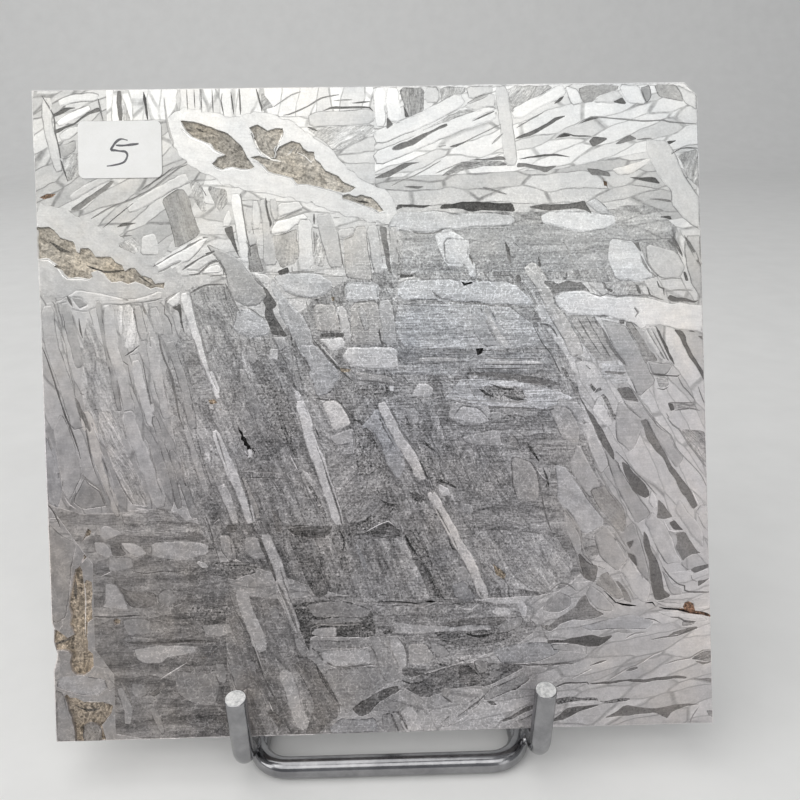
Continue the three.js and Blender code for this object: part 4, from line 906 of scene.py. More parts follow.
# %% The lower right quarter
RIGHT_LOW = """
soot .5 | 54.2,36.9 55,36 55.8,35.3
soot .3 | 55.8,41.6 56.5,40.3 57.1,38.6
soot .4 | 58.4,38.7 59.9,38 61.6,37.2
soot .25 | 60,29.8 60.4,28.8 60.8,27.8
soot .3 | 53.8,48.4 54.6,46.9
soot .25 | 56.6,44.6 57.4,43.6 58.4,42.8
soot .3 | 50.9,53.1 51.5,51.8
soot .25 | 46,48 47.4,47.5
soot .3 | 49.8,35.7 51.2,34.9 52.3,34.9
soot .35 | 55.9,26.1 57.1,23.7 58,21.6 59.4,20.2
soot .25 | 53.5,30.2 54.4,28.4 55.6,26.7
soot .3 | 43.6,31 44.2,29.6 44,28
soot .25 | 40.2,46.8 40.9,45
soot .35 | 72.4,43.9 73.2,42.4 74.2,41
soot .25 | 74.8,40 75.3,38.4 75.6,37
soot .4 | 62.4,14.9 64.6,14.4 66.8,14.8
soot .3 | 61.2,11 62.4,10.5
olive +9 1.6 | 50.3,50.5 51,48.5 52,46.5 53.2,44.3 54.8,42 55.7,40 56.3,38.5
olive +6 1.5 | 57.4,36.8 58.4,35 59.2,33.5 60.5,31 61.8,28.5 63.5,25.5 64.7,22.5 65.6,20.2
seam .2 | 50,48 51,46 51.9,44.3 53.3,42 54.6,40.5
seam .2 | 51.8,49.5 53,46.5 54.5,44.3 56,41.5
seam .16 | 58.4,34 60,31 61.4,28
haze | 47,46.6 49.6,50 51,46.6 54,41 52.6,38.6 51,41 50,44.4 48.6,46.6
rough | 54.6,36.9 55.4,36.7 56.6,35.6 56,35 54.8,35.8
rough .7 | 56.4,39.4 57.6,38.7
rough .5 | 57,40.6 57.8,40.2
rough .6 | 53.2,47.6 54.8,46.6
rough .5 | 56.5,44.2 57.4,43.8 58.2,43
crack .35 | 58,33.4 58.5,33.1
crack .35 | 60.2,28.9 60.7,27.8
crack .3 | 57.3,38.4 57.6,37.2
glint .2 | 57.7,39.9 58.3,39.2
glint .2 | 57.4,37.5 57.8,36.2
bright | 58.8,38 60.2,37.2 60.4,36.2 59.3,36 58.7,37
bright | 62,35 63.7,34.6 64,33.6 63.2,33 62.2,34
rough .45 | 58.3,38.7 59.5,38.4 60.8,37.7 61.8,37
seam .35 | 59.3,46.8 59.7,45.8 60.1,44.7
seam .2 | 58.2,43.8 59.4,41.7 60.5,40 61.5,38.8
seam .18 | 61,43 62.5,40.5 63.8,37.7
light | 53.5,49.6 55.6,49.6 56,47.6 54.8,47
light | 62.3,49.8 65,49.3 66.7,47.5 66,46.8 63,47 61,47.8
light | 66.8,48.8 68.5,48.8 68.6,47.3 67.2,47.2
plain @0 | 62.3,45 68,46.2 68.5,43.5 66,43.5 63,44
olive | 70,42 74,40.5 74,35 71,34.5 69.8,38
taupe | 69.9,45.5 70.8,44.5 71.3,43 70,43.3 69.5,44.5
seam .25 | 73.8,48.3 74.6,46.7 75.3,44.7 75.8,43.9
rough | 72.5,42.8 74.8,43.8 74.9,42.8 73.5,42.4
crack .35 | 72.8,41.6 73.3,41.3
seam .3 | 72.8,41 73.8,39.7 74.3,37 74.7,34.5 75.3,32 76,30
glint .18 | 73.8,39.8 74.8,38.5 75.7,37.8
bright | 75.5,39.8 76,38.8 75.6,38.2 75,38.8
olive | 75.6,49.4 79,49.2 80.6,45.6 80.2,43.6 77.6,44.6
rough .5 | 75.4,38.6 75.2,36.4
speck | 66.8,25.5 68,24.6 68.8,23.8 68.5,23 67.3,23.8
glint .18 | 66.3,25.7 67.4,24.3
bright | 61.3,25 62.3,25.3 63.8,23.2 63.5,22.4 61.5,23.5
haze | 60.5,22.6 62.5,23 64.3,20.2 62.5,19.8 60.7,20.5
rough .5 | 55.2,26.4 56.5,25.3 57.5,23 58.3,21.2 59,20.2 60,20.1
rough | 53,30.6 54.2,31.2 56,29 57.8,25.4 56.6,25.4 54.6,28.4
crack .3 | 56.4,20 58,19.9
seam .2 | 64.3,22 65,20.5
rough .3 | 60.8,19.6 62,19.3 63.5,19.9
glint .14 | 61,19.2 62.3,18.7 63.5,18.6 64.5,19.5
light +4 | 66.8,18.8 68.8,18.8 69.7,18.2 69,17.5 67,17.6
light | 68.2,22.2 69,22 69,21.3 68.3,21.2
bright +4 | 70.2,19.8 71.3,20 72,18.8 71.8,17.2 70.9,17.4
light | 67.5,15.7 69,17 71,17.5 71.5,16.8 71,15.8 69,15 67.8,15
taupe @0 | 59,16.5 60.5,17.2 63.5,17.2 67,17.3 69.3,17.4 68.5,16.7 67.5,16 64,16.2 60,16
light @0 | 51.3,16.9 56,16.4 59,16.2 66,16.2 66.5,15.4 62,15.3 55,15.1 51.8,15.2
seam .32 | 56,14.4 58.5,14.3 60,13.9 61.5,14.2
rough | 61.5,15.2 67,15 66.5,14.4 62,14.4
light | 50.8,14.3 52,14.5 53,13.2 53.4,11.5 53.1,10 52.3,9.5 51.5,11
seam .3 | 52,14.6 53,13.3 53.5,11.5 53.3,10
olive +3 | 53.7,13.6 56.2,13.5 57.5,11.5 56.5,10.5 54.5,10.3 53.6,10.8
light | 57,13.8 59,13.3 60,12 59.5,11.2 58,11.5 57,12.8
rough .5 | 58,10.4 59.8,9.9
comb @0 | 61.3,10 63,10 64.8,7.9 64.3,7 62.8,6.8 61.3,7.8
grey | 63.5,10.7 65.8,10.5 65.7,9 64.5,8.5
light | 66,9 68.2,8.9 67,7.9 66,7.9
haze @0 | 66.5,12.2 70,13 72,13.2 76,13.2 77,11.5 73,10.2 68,10
seam .28 | 70,10 73,9.7 76.5,9.9 79,9.8
seam .28 | 75,9.6 77,9.9 78.3,10
taupe | 73.8,15.8 75.5,15.9 77.5,17.4 79.3,18.5 80,19.8 80.9,20.4 81.5,19.2 82.5,18 83.8,17.3 82.5,16.7
    80.5,16.5 78.8,16.6 77.3,16 75.4,14.8
light | 74.2,18.2 75,19.8 77,21 78.6,20.2 78.8,18.8 76.6,17.6
seam .22 | 75.2,20.6 76.6,22 78.2,22.1 79.6,21
seam .35 | 74,16 74.8,14 75.3,13.4
wedge | 75,13.7 77.5,13.5 79,13.8 80.3,14 82,14.2 83.3,13.8 84.8,14.1 85,13.9 84,13 82.8,12.4 81.5,12.4
    80,12.7 77.5,13.1 75,13.1
rough .3 | 52.5,8 54,7.4 56,7.7
olive | 58.5,6.4 60,6.6 59.8,5.3 58.8,5.3
wedge .35 | 58.7,5.4 60.2,4.3
bright | 59,5.4 60.4,4.5 59.4,4.2
bright | 52,3 53.3,4 54.2,3.6 55.5,1 54,-0.2 53,-0.2
bright | 55.8,3.6 56.5,3.8 57,2.5 56.2,2.2
light | 54.8,3.8 57,2.2 58,-0.2 55.8,-0.2
wedge .32 | 51.9,3.3 52.6,1.8 53.4,0.2
light 1.3 | 58.5,0.8 61.5,2.5 64.5,4.8
seam .16 | 60.8,2 62.5,3.2 64.5,4.6 66,6.2 69,7.5
wedge | 67.5,1.4 69.5,2.2 71.5,3.3 73,3.7 76,4.1 76,3.4 73,3 71,2.3 69.5,1.6 68,1.2
light | 68,0.5 70.5,1.4 73,2.4 75,2.6 74,-0.2 67,-0.2
light 1.5 | 65,5 68,6.2 72,8
rough .6 | 65.6,4.4 67,3.8
rough .6 | 69,6 70.8,6.6
wedge | 75,1.1 76,1.5 77,2.2 78,3 80,3.3 82.5,3.4 83,3.3 81.5,2.9 79.5,2.3 77.5,1.3 75.5,1
wedge | 83.5,1.3 85.5,2.2 86.5,3.1 87.3,3.2 89,2.8 91,2.6 94,2.9 97,3.1 98.5,3.1 96,2.6 94,1.9 93.2,1
    92.8,1.2 91.5,1.9 89.5,1.7 87,1.5
glint .3 | 78.5,3.65 80,3.95 82,3.8
rough | 75.6,4.3 78,4.9 80,4.5 82.5,4.6 82.8,4 80.5,4.1 78,3.9 76.5,3.4
rough .5 | 83,3.9 84,3.7 86,4 87.6,4.1
seam .3 | 76,6.2 77.5,6.8 80,6.8 81,6.9 81.3,6.5
wedge | 81.3,6.8 84,6.9 86,7.2 88,7.2 90,7 92,7.4 95,7.5 96.5,7.3 96.5,7 94,7 91.5,6.8 89.6,6.5 87,6.9
    84,6.5 82,6.5
seam .32 | 97,6.9 99,6.6 100.4,6.2
taupe | 97.3,7 100.4,7 100.4,6.3 98.6,6.6
seam .2 | 78.5,7.5 80.5,8.4 81.8,9
seam .3 | 81.5,9.4 82.6,9.8 84.1,10.2
seam .3 | 84.5,7.2 87,8.7 88.5,9.2 89.8,10 91.5,10.9 92.9,11.4
wedge | 86.8,8.5 88.5,9.3 89,8.8 88,8.5
seam .26 | 93,9.3 95,9.9 97,10.2 98,10.8 99,11.3 100.4,11.4
comb @20 | 97,10.1 99,11.2 100.4,11.3 100.4,9.6 98.4,9.8
wedge .3 | 97.8,9.7 99,9.3 100.4,9.6
seam .26 | 91,13.2 93,13.5 95,13.7 96.5,14.2 98.2,14.8
taupe | 93.5,13.7 94.7,14.3 95.8,14.7 98,15.1 98.3,14.8 96.3,14.1
seam .25 | 94,16.6 95.3,16.5 96.2,16 98,15.8
comb @-20 | 95.8,15.9 97.9,15.8 97.6,15.2 95.9,15.2
seam .25 | 87,13.4 88.5,14.2 90.5,14.4
grey | 85,14.7 86.5,14.9 88.3,14.4 87,14.2
haze @4 | 80,15.5 84,16.5 88,17.2 91.5,16 90.5,14.8 86,15 82,14.9
seam .2 | 90,16.5 91.5,16.3 92.6,15.7
light | 75.5,12.9 80.5,12.7 80.8,11.3 76,12
seam .2 | 80.9,12.6 81,11.2
light | 81,20.5 81.8,21.9 83.3,20.9 85.5,18.5 85.2,17.7 83,18 81.8,19
light | 86.5,24 87.3,22.4 88.3,20.4 89.5,19.1 90.5,19 91,20.3 91.1,21.8 90.3,22.6 89,24 88,26.5
taupe | 82.5,22 83.5,23.5 84.5,23.8 86,21.5 86.8,19.8 86,19.5 84.2,20.8 83.2,21.6
taupe | 85.5,22.4 86.4,21 87,19.3 88.3,19 87.2,20.8 86.2,22.4
seam .28 | 86.4,23.3 86.8,22.2 87.7,21 88.5,19.3
taupe @-60 | 80,27 81.5,25.3 83,24.8 82.5,22.2 81,22.8 80.2,24
seam .35 | 79.3,27 80.3,24.5 80.7,23.2
rough .5 | 83,24.7 84,24.3
light | 92.8,24 94.5,21.5 95.8,21 96,20 94.3,20.1 93.3,22
seam .28 | 93,24.4 94,22.9 95.5,21.6 96.3,21.4 96.3,20.7 97,20.4 100.3,20.3
seam .2 | 95.8,24.7 96.9,23.8
seam .22 | 97.3,23 97.5,22.3 98.2,22
wedge | 98.3,22.1 99.3,22.2 100.4,22.5 99.5,21.9 98.5,21.2
bright | 91.5,19.1 96,18.6 98.5,19.4 100.4,19.6 100.4,18.3 97,17.8 93,18.2
bright | 92,17.6 96,17.2 98.4,16.9 99.8,16.2 99.4,15.8 96,16.4 93,16.9
seam .2 | 98.3,2.6 97.3,1.2 96.7,-0.2
comb @-30 | 99.4,2 100.4,2 100.4,1 99.8,1.2
plain | 91.6,33 94.2,29.8 95.2,26.6 96,24.9 93.4,24.8 91.6,28.4 90.2,31.4
light | 95.6,34.8 97.2,32.6 99.4,29.8 99.4,27 97.2,29.6 94.9,33
"""

# %% The open crack at the right edge
CRACKS = """
crack .16 .4 | 83.8,21 84.8,20 85.6,19.1 86.8,18.7 88.8,18.5
crack .35 .2 | 90.2,18.9 91.3,18.9 91.8,18.3
crack .2 .35 | 92.3,18.2 93.2,17.9 95,17.8 97,17.3
rust .5 | 95,17.9 97,17.4 99,17.1 100.5,16.5
rust | 96,18.1 96.3,18.8 96.9,19 97.6,18.6 97.9,17.5 96.6,17.4
crack .16 | 97,17.3 99,16.9
rust | -0.3,82.2 0.8,82.7 2.2,82.7 1.6,82.2 0.4,81.9
rust | 84.7,83.5 85.2,83.4 85.3,82.8 84.8,82.8
rust .16 | 84.6,83.9 85.4,82.4
"""

# %% [markdown]
# ## The nodules
#
# The rough brown inclusions are iron phosphide and sulphide. They are softer than the iron and broke
# out when the slice was ground, so they are pits with a broken floor. Veins are thin bright walls
# left inside them, and a hollow is a dark hole. The glints along their lower left lips are painted
# highlights.

# %% The nodules
NODULES = """
nodule | 21,93.4 23,93.2 25.3,92.4 28,91.4 29,90.4 30.2,89.2 30.8,87.8 31.4,87 31.9,86.3 31,86 30,86
    28.5,86.4 27,86 26.1,86.4 25.6,86.9 26.4,87.8 27.6,88.2 26.7,88.6 25.9,89 25.3,89.9 24.2,90.3 22.6,91
    21.6,92
nodule | 31.3,92.3 32.5,92.6 34,91.7 35.2,92.1 36.3,92 36.3,91 35.6,89.9 34.9,89 34.9,87.7 34.1,87.8
    32.8,88.5 32.3,89.6 31.9,90.8
nodule | 31.4,87.8 32.6,88 34,87.6 35,87.7 35.1,88.5 35.7,89.3 36.5,89.7 37.5,90.1 38.8,89.8 39.3,89
    40,88.5 40.9,88.4 41,87.4 41.8,86.7 42.6,85.6 44.5,84.7 45.4,83.8 47,83 46.3,82.4 45,82.2 42.5,82.9
    39.8,83.6 38.2,83.7 37.5,84.6 35.2,85.2 34,85.6 33,86.7 32.3,87.2
nodule | 45,81.9 46,82 47,81.7 48,81.9 49.3,81.5 50.3,80.7 50.8,80 51.2,79.4 50.5,79.2 49.5,79.9 48.3,80.3
    46.8,80.9 45.8,81.2 45,81.5
nodule -5 | -0.8,77.8 0.9,77.8 1.8,77.2 2.6,76.2 3.5,75.8 4.5,75.6 4.8,74.8 5,74 5.4,73.8 5.6,74.5
    6.8,74.5 7.3,74 7.7,73.3 9,73.2 10.1,73.2 10.8,72.4 11.7,71.9 12.1,71 13,71.5 13.7,71.4 14,70.8
    14.6,70.3 16,69.9 16.6,69 17.2,69.1 18.1,69.2 17.9,68.2 16.7,68.5 15.9,68.2 14.9,68.8 13.6,69.4
    12.5,69 11.5,69.4 10,69.3 9.3,70 9,70.6 8,71.2 7,70.8 7.3,70.2 6.8,69.8 5.5,70.1 3.5,70.1 2.6,71.2
    1.6,71.8 2,72.2 0.7,73 -0.8,73
gold | 4.3,26.8 3.6,26.2 3.1,25 2.9,23.4 2.6,22 2.4,20.5 2.8,19.4 2.5,17.8 3.2,16.4 2.2,15.8 0.9,16.8
    -0.8,17.6 -0.8,14.2 0.8,14 2.2,13.8 2.6,13.2 2.4,12 2.7,10.7 3.3,10.2 4.5,10.1 5.3,10.6 6,11.4
    5.9,13.2 5.2,14 5.1,16 5.2,18 6,18.6 5.9,20.5 6.1,22.5 6,24.2 5.2,24.6 4.7,24 4.6,26
gold | 4.9,28.5 5.4,28 4.5,27
gold | 5.6,32.4 6.1,32 5.9,31.2 5.2,31 4.7,30.4
gold | 1.4,6.9 1.8,7.3 2.3,6.8 3.2,6.7 4,6.2 4.5,5.9 6,6 8,5.7 8.7,5.3 8.4,4.2 7.6,3 7,2.4 7.3,1.2
    7.6,-0.8 3,-0.8 2.9,1.5 2.6,2.8 2.4,3.8 2,4.6 1.8,6
island | 4.3,2.4 5.2,2.9 6.3,2.5 6.8,1.6 6.6,-0.8 4.4,-0.8 4.1,1.2
gold | 9,18.2 9.6,18.7 10.2,18.4 10,17.7 9.3,17.6
vein .3 | 34.9,87.8 35,88.8 35.6,90 36.3,91.6
vein .34 | 31.5,91.4 32,90.2 32.5,89 33.2,88.3 34.4,87.6 35.8,87.2
vein .2 | 36.7,88 37.4,88.6 38,89.4
vein .2 | 38.2,88.6 39.4,88 40.4,87 41,87.8
vein .18 | 4.5,26 4.9,22 4.7,16
vein .22 | 4.3,6 6,5.9 7.8,5.8
glint .22 | 21,92.2 22.4,90.9 24,90.2 25.1,89.6 25.8,88.8 26.6,88.4 27.4,88.2
glint .2 | 25.5,87 26,86.2 27,85.8 28.5,86.2 30,85.8 31.8,86
glint .22 | 31.2,91.6 31.7,90.4 32.1,89.3 32.7,88.3 33.6,87.8
glint .2 | 31.6,87.2 32.3,86.9 33,86.4 33.9,85.4 35.2,85 37.3,84.4 38.1,83.5 39.8,83.4 42.5,82.7 45,82
glint .18 | 45,81.3 46.8,80.7 48.3,80.1 49.5,79.7 50.5,79 51.4,79.2
glint .18 | -0.6,72.8 0.7,72.8 1.8,72 2.5,71 3.5,69.9 5.5,69.9 6.8,69.6
vein .14 | 36.8,88.2 37.4,88.8 38,89.5
vein .12 | 37.9,88.3 38.5,89.3
vein .14 | 38.9,88.7 39.7,88
vein .12 | 32.4,91.3 32.6,90.2
vein .12 | 33.5,90.7 33.8,89.5
hollow .35 | 23.2,92.3 24.5,91.7
hollow .3 | 25.4,91.5 26.5,91.2
hollow .25 | 28.8,87.5 30,87
hollow .2 | 33,90.6 33.2,89.6
hollow .4 | 37.6,84.7 38.4,84.4
hollow .25 | 44.3,83.4 45.4,82.9
hollow .3 | 47,81.2 49,80.8
hollow .35 | 6.3,72 9,71 12,71.2
hollow .35 | 3.3,72.7 4,72.2
hollow .25 | 14,70.3 16,69
hollow .5 | 1,75.6 2.6,74.4 4,74
hollow .35 | 2.9,16 1.8,15.4 -0.6,14.6
hollow .5 | 3.4,24.6 3.4,21.6
hollow .3 | 2.9,5.4 4.6,4.6 6.6,4.8
"""

# %% [markdown]
# ## From drawn lines to outlines
#
# Real crystal borders are never dead straight. A strip is laid along a smooth middle line and its
# two sides wander a little, and the edges of an outline are broken up and nudged by noise. Seams
# and beams narrow at their ends.

# %% Outlines
NARROW = 0.7


def points_of(words):
    return [Vector([float(part) for part in pair.split(",")]) for pair in words.split()]


def wander(point, size, amount, seed=0.0):
    place = Vector((point.x * size, point.y * size, seed))
    return Vector((noise.noise(place), noise.noise(place + Vector((40, 0, 9))))) * amount


def smooth_line(points, spacing):
    ends = [points[0] * 2 - points[1], *points, points[-1] * 2 - points[-2]]
    line = []
    for before, start, end, after in zip(ends, ends[1:], ends[2:], ends[3:]):
        steps = max(1, round((end - start).length / spacing))
        for step in range(steps):
            t = step / steps
            straight = start * 2 + (end - before) * t
            bend = (before * 2 - start * 5 + end * 4 - after) * t * t
            twist = (start * 3 - before - end * 3 + after) * t * t * t
            line.append((straight + bend + twist) / 2)
    return [*line, points[-1]]


def strip_outline(points, widths, tip, spacing, seed):
    line = smooth_line(points, spacing)
    reach = max((points[-1] - points[0]).length, 0.1)
    share = 0.2 if widths[0] < NARROW else min(0.3, 0.5 * widths[0] / reach)
    left = []
    right = []
    for place, point in enumerate(line):
        along = line[min(place + 1, len(line) - 1)] - line[max(place - 1, 0)]
        across = Vector((-along.y, along.x)).normalized()
        t = place / (len(line) - 1)
        ending = tip + (1 - tip) * math.sin(min(1.0, min(t, 1 - t) / share) * math.pi / 2)
        half = (widths[0] + (widths[-1] - widths[0]) * t) / 2 * ending
        uneven = min(0.7 * half, 0.16)
        left.append(point + across * (half + uneven * noise.noise(Vector((point.x, point.y, seed)) * 0.8)))
        right.append(point - across * (half + uneven * noise.noise(Vector((point.y, point.x, -seed)) * 0.8)))
    return left + right[::-1]


def rough_outline(points, spacing, amount, seed):
    outline = []
    for start, end in zip(points, [*points[1:], points[0]]):
        steps = max(1, round((end - start).length / spacing))
        outline += [start.lerp(end, step / steps) for step in range(steps)]
    return [point + wander(point, 1.1, amount, seed) for point in outline]


def soft_outline(points, spacing, amount, seed):
    pairs = list(zip(points, [*points[1:], points[0]]))
    rounded = [start.lerp(end, part) for start, end in pairs for part in (0.14, 0.86)]
    outline = rough_outline(rounded, spacing, amount, seed)
    return [point + wander(point, 0.5, amount * 1.6, seed + 5) for point in outline]


def turned_left(outline):
    area = sum(a.x * b.y - b.x * a.y for a, b in zip(outline, [*outline[1:], outline[0]]))
    return outline if area > 0 else outline[::-1]


def inside(point, outline):
    crossings = 0
    for start, end in zip(outline, [*outline[1:], outline[0]]):
        if (start.y > point.y) != (end.y > point.y):
            share = (point.y - start.y) / (end.y - start.y)
            crossings += point.x < start.x + share * (end.x - start.x)
    return crossings % 2 == 1


# %% [markdown]
# ## What each word means
#
# Rank decides which crystal wins where two overlap. Tone is how light the metal is, warmth is
# below zero for blue and above it for brown, hatch is how strong its fine grain is and pits how
# rough it is. The last two numbers are the relief the acid left: how far in from the border the
# step is, and how high or deep the crystal lies, in millimetres.

# %% The kinds of crystal
KINDS = {
    "edge": (-1, 0.78, 0.00, 0.20, 0.2, 0.0, 0.0),
    "base": (0, 0.79, 0.00, 0.10, 0.0, 0.04, 0.016),
    "ground": (8, 0.81, 0.00, 0.08, 0.0, 0.04, 0.016),
    "halo": (9, 0.85, -0.03, 0.10, 0.0, 0.06, 0.018),
    "field": (10, 0.78, -0.03, 0.50, 0.25, 0.06, 0.012),
    "scratch": (11, 0.80, -0.15, 0.40, 0.2, 0.08, 0.012),
    "dusk": (12, 0.74, 0.04, 0.40, 0.15, 0.08, 0.012),
    "shade": (13, 0.69, 0.00, 0.45, 0.6, 0.10, 0.004),
    "comb": (14, 0.73, 0.04, 0.90, 0.1, 0.12, 0.008),
    "rough": (15, 0.60, 0.02, 0.30, 1.0, 0.14, -0.010),
    "plain": (20, 0.82, 0.02, 0.10, 0.0, 0.26, 0.018),
    "haze": (20, 0.82, -0.20, 0.18, 0.0, 0.26, 0.018),
    "grey": (20, 0.75, 0.02, 0.12, 0.0, 0.24, 0.017),
    "olive": (20, 0.83, 0.15, 0.12, 0.0, 0.26, 0.018),
    "light": (20, 0.83, 0.00, 0.08, 0.0, 0.26, 0.020),
    "bright": (20, 0.87, -0.02, 0.05, 0.0, 0.24, 0.022),
    "taupe": (30, 0.66, 0.12, 0.30, 0.1, 0.18, -0.004),
    "wedge": (31, 0.46, 0.12, 0.08, 0.15, 0.14, -0.012),
    "seam": (40, 0.62, 0.06, 0.00, 0.1, 0.05, -0.025),
    "glint": (42, 1.00, 0.00, 0.00, 0.0, 0.03, 0.022),
    "soot": (43, 0.34, 0.00, 0.00, 0.9, 0.03, -0.015),
    "speck": (44, 0.50, 1.20, 0.10, 0.9, 0.04, -0.012),
    "nodule": (60, 0.73, 0.59, 0.50, 0.5, 0.12, -0.320),
    "gold": (60, 0.60, 0.79, 0.40, 0.5, 0.12, -0.320),
    "island": (62, 0.74, 0.10, 0.30, 0.4, 0.10, -0.120),
    "hollow": (64, 0.44, 0.50, 0.00, 0.8, 0.12, -0.320),
    "vein": (66, 0.98, 0.20, 0.00, 0.4, 0.12, -0.320),
    "crack": (70, 0.12, 0.20, 0.00, 0.5, 0.04, -0.300),
    "rust": (69, 0.48, 1.60, 0.30, 1.0, 0.04, -0.030),
}
IN_NODULE = ("nodule", "gold", "hollow", "vein")
LINES = ("seam", "glint", "crack", "hollow", "vein")
PLATES = ("plain", "haze", "grey", "olive", "light", "bright", "taupe", "wedge")
SOFT = (*PLATES, "comb", "field", "shade", "rough", "island")


class Crystal:
    def __init__(self, kind, outline, direction, seed, lift=0.0):
        self.kind = kind
        self.rank, self.tone, self.warmth, self.hatch, self.pits, self.step_in, self.level = KINDS[kind]
        self.outline = turned_left(outline)
        self.direction = direction.normalized()
        self.seed = noise.cell(Vector((seed * 1.37, 5.1, 0.3)))
        self.tone += (self.seed - 0.5) * (0.16 if kind == "seam" else 0.08) + lift
        # Painted light: wedges and seams are made lighter towards the foot of the face, to make up for the
        # lamp light that falls off there.
        if kind in ("wedge", "seam"):
            self.tone += (0.13 if kind == "wedge" else 0.08) * (1 - outline[0].y / FACE_HEIGHT)
        if kind not in IN_NODULE:
            self.step_in = round(min(self.step_in, 0.24 * self.mean_width()), 2)

    def mean_width(self):
        pairs = list(zip(self.outline, [*self.outline[1:], self.outline[0]]))
        area = abs(sum(a.x * b.y - b.x * a.y for a, b in pairs)) / 2
        return 2 * area / sum((b - a).length for a, b in pairs)

    def relief(self):
        return "nodule" if self.kind in IN_NODULE else self.kind


STRIP_SPACING = 0.9
THIN_STRIP_SPACING = 0.95
OUTLINE_SPACING = 0.9
NODULE_SPACING = 0.4
SEAM_SHARE = 0.85


def feature_lines(text):
    features = []
    for line in text.strip().splitlines():
        if "|" in line:
            features.append(line)
        else:
            features[-1] += line
    return features


def drawn_outline(kind, points, seed):
    if kind == "halo":
        return rough_outline(soft_outline(points, 0.7, 0.25, seed), 0.6, 0.35, seed)
    if kind in SOFT:
        return soft_outline(points, OUTLINE_SPACING, 0.10, seed)
    if kind in IN_NODULE:
        return rough_outline(points, NODULE_SPACING, 0.12, seed)
    return rough_outline(points, OUTLINE_SPACING, 0.05, seed)


def read_crystals(text, start):
    crystals = []
    for number, line in enumerate(feature_lines(text)):
        head, tail = line.split("|")
        kind, *settings = head.split()
        widths = [float(word) for word in settings if word[0] not in "@+-"]
        lift = sum(int(word) for word in settings if word[0] in "+-") / 100
        angles = [math.radians(float(word[1:])) for word in settings if word[0] == "@"]
        points = points_of(tail)
        seed = start + number
        if widths:
            tip, spacing = (0.6, STRIP_SPACING)
            if kind in LINES or widths[0] < NARROW:
                tip, spacing = (0.25, THIN_STRIP_SPACING)
            widths = [width * SEAM_SHARE for width in widths] if kind == "seam" else widths
            outline = strip_outline(points, widths, tip, spacing, seed)
            direction = points[-1] - points[0]
        else:
            outline = drawn_outline(kind, points, seed)
            direction = max((a - b for a in points for b in points), key=lambda span: span.length)
        if angles:
            direction = Vector((math.cos(angles[0]), math.sin(angles[0])))
        crystals.append(Crystal(kind, outline, direction, seed, lift))
    return crystals


texts = (GROUND, TOP_LEFT, TOP_MIDDLE, TOP_RIGHT, LEFT_MIDDLE, CENTRE_TOP, CENTRE_RIGHT, RIGHT_SIDE,
         LEFT_LOW, MIDDLE_LOW, RIGHT_LOW, CRACKS, NODULES)
crystals = []
for text in texts:
    crystals += read_crystals(text, len(crystals))
print(len(crystals), "crystals drawn")

# %% [markdown]
# ## The outline of the slice
#
# The saw left straight sides, and the left one has crumbled where it cuts through a nodule. A
# narrow bevel runs round the face, so the outline is used twice: once at full size for the
# side and once drawn in by the width of the bevel.

# %% The outline
OUTLINE = (
    "0,0 100.5,0 99.35,96.4 97.3,98.35 -1.1,98.2 "
    "-0.22,18.2 0.12,17.1 0.02,15.2 0.5,13.4 0.3,12.3 -0.12,11"
)
outline_points = points_of(OUTLINE)


def drawn_in(points, amount):
    moved = []
    for before, point, after in zip([points[-1], *points], points, [*points[1:], points[0]]):
        first = (point - before).normalized()
        second = (after - point).normalized()
        inward = Vector((-first.y - second.y, first.x + second.x)).normalized()
        moved.append(point + inward * amount)
    return moved


full_outline = rough_outline(outline_points, 1.2, 0.0, 0)
inner_outline = rough_outline(drawn_in(outline_points, EDGE_BREAK), 1.2, 0.0, 0)
first_two = [
    Crystal("edge", full_outline, Vector((1, 0)), 1),
    Crystal("base", inner_outline, Vector((1, 0)), 2),
]
crystals = first_two + crystals

# %% [markdown]
# ## One mesh with every border in it
#
# All the outlines go into one planar triangulation, which puts a vertex wherever two borders
# cross. Each triangle then belongs to the highest ranking crystal that covers it. The triangles
# are sorted into square cells first, so that each crystal is compared only with those near it.
# The ring outside the drawn-in outline stays bevel, and only what ranks as high as a nodule reaches
# into it. Loose points inside the nodules give their broken floors enough facets.

# %% The planar mesh
CELL = 3.0


def cells_under(outline):
    columns = [int(point.x // CELL) for point in outline]
    rows = [int(point.y // CELL) for point in outline]
    for column in range(min(columns), max(columns) + 1):
        for row in range(min(rows), max(rows) + 1):
            yield column, row


def planar_mesh(crystals, loose, ring_rank):
    points = list(loose)
    loops = []
    for crystal in crystals:
        loops.append(list(range(len(points), len(points) + len(crystal.outline))))
        points += crystal.outline
    result = delaunay_2d_cdt(points, [], loops, 0, 0.002)
    places, triangles = result[0], result[2]
    centres = [sum((places[corner] for corner in triangle), Vector((0, 0))) / 3 for triangle in triangles]
    cells = {}
    for number, centre in enumerate(centres):
        cells.setdefault((int(centre.x // CELL), int(centre.y // CELL)), []).append(number)
    owners = [None] * len(triangles)
    for rank, item in sorted((crystal.rank, item) for item, crystal in enumerate(crystals)):
        for cell in cells_under(crystals[item].outline):
            for number in cells.get(cell, ()):
                kept_out = item > 1 and (owners[number] is None or (owners[number] == 0 and rank < ring_rank))
                if not kept_out and inside(centres[number], crystals[item].outline):
                    owners[number] = item
    mesh = bpy.data.meshes.new("planar")
    covered = [triangle for triangle, owner in zip(triangles, owners) if owner is not None]
    mesh.from_pydata([(place.x, place.y, 0) for place in places], [], covered)
    bm = bmesh.new()
    bm.from_mesh(mesh)
    bpy.data.meshes.remove(mesh)
    layer = bm.faces.layers.int.new("crystal")
    for face, owner in zip(bm.faces, (owner for owner in owners if owner is not None)):
        face[layer] = owner
        face.smooth = False
    loose_points = [vertex for vertex in bm.verts if not vertex.link_faces]
    bmesh.ops.delete(bm, geom=loose_points, context="VERTS")
    return bm, layer


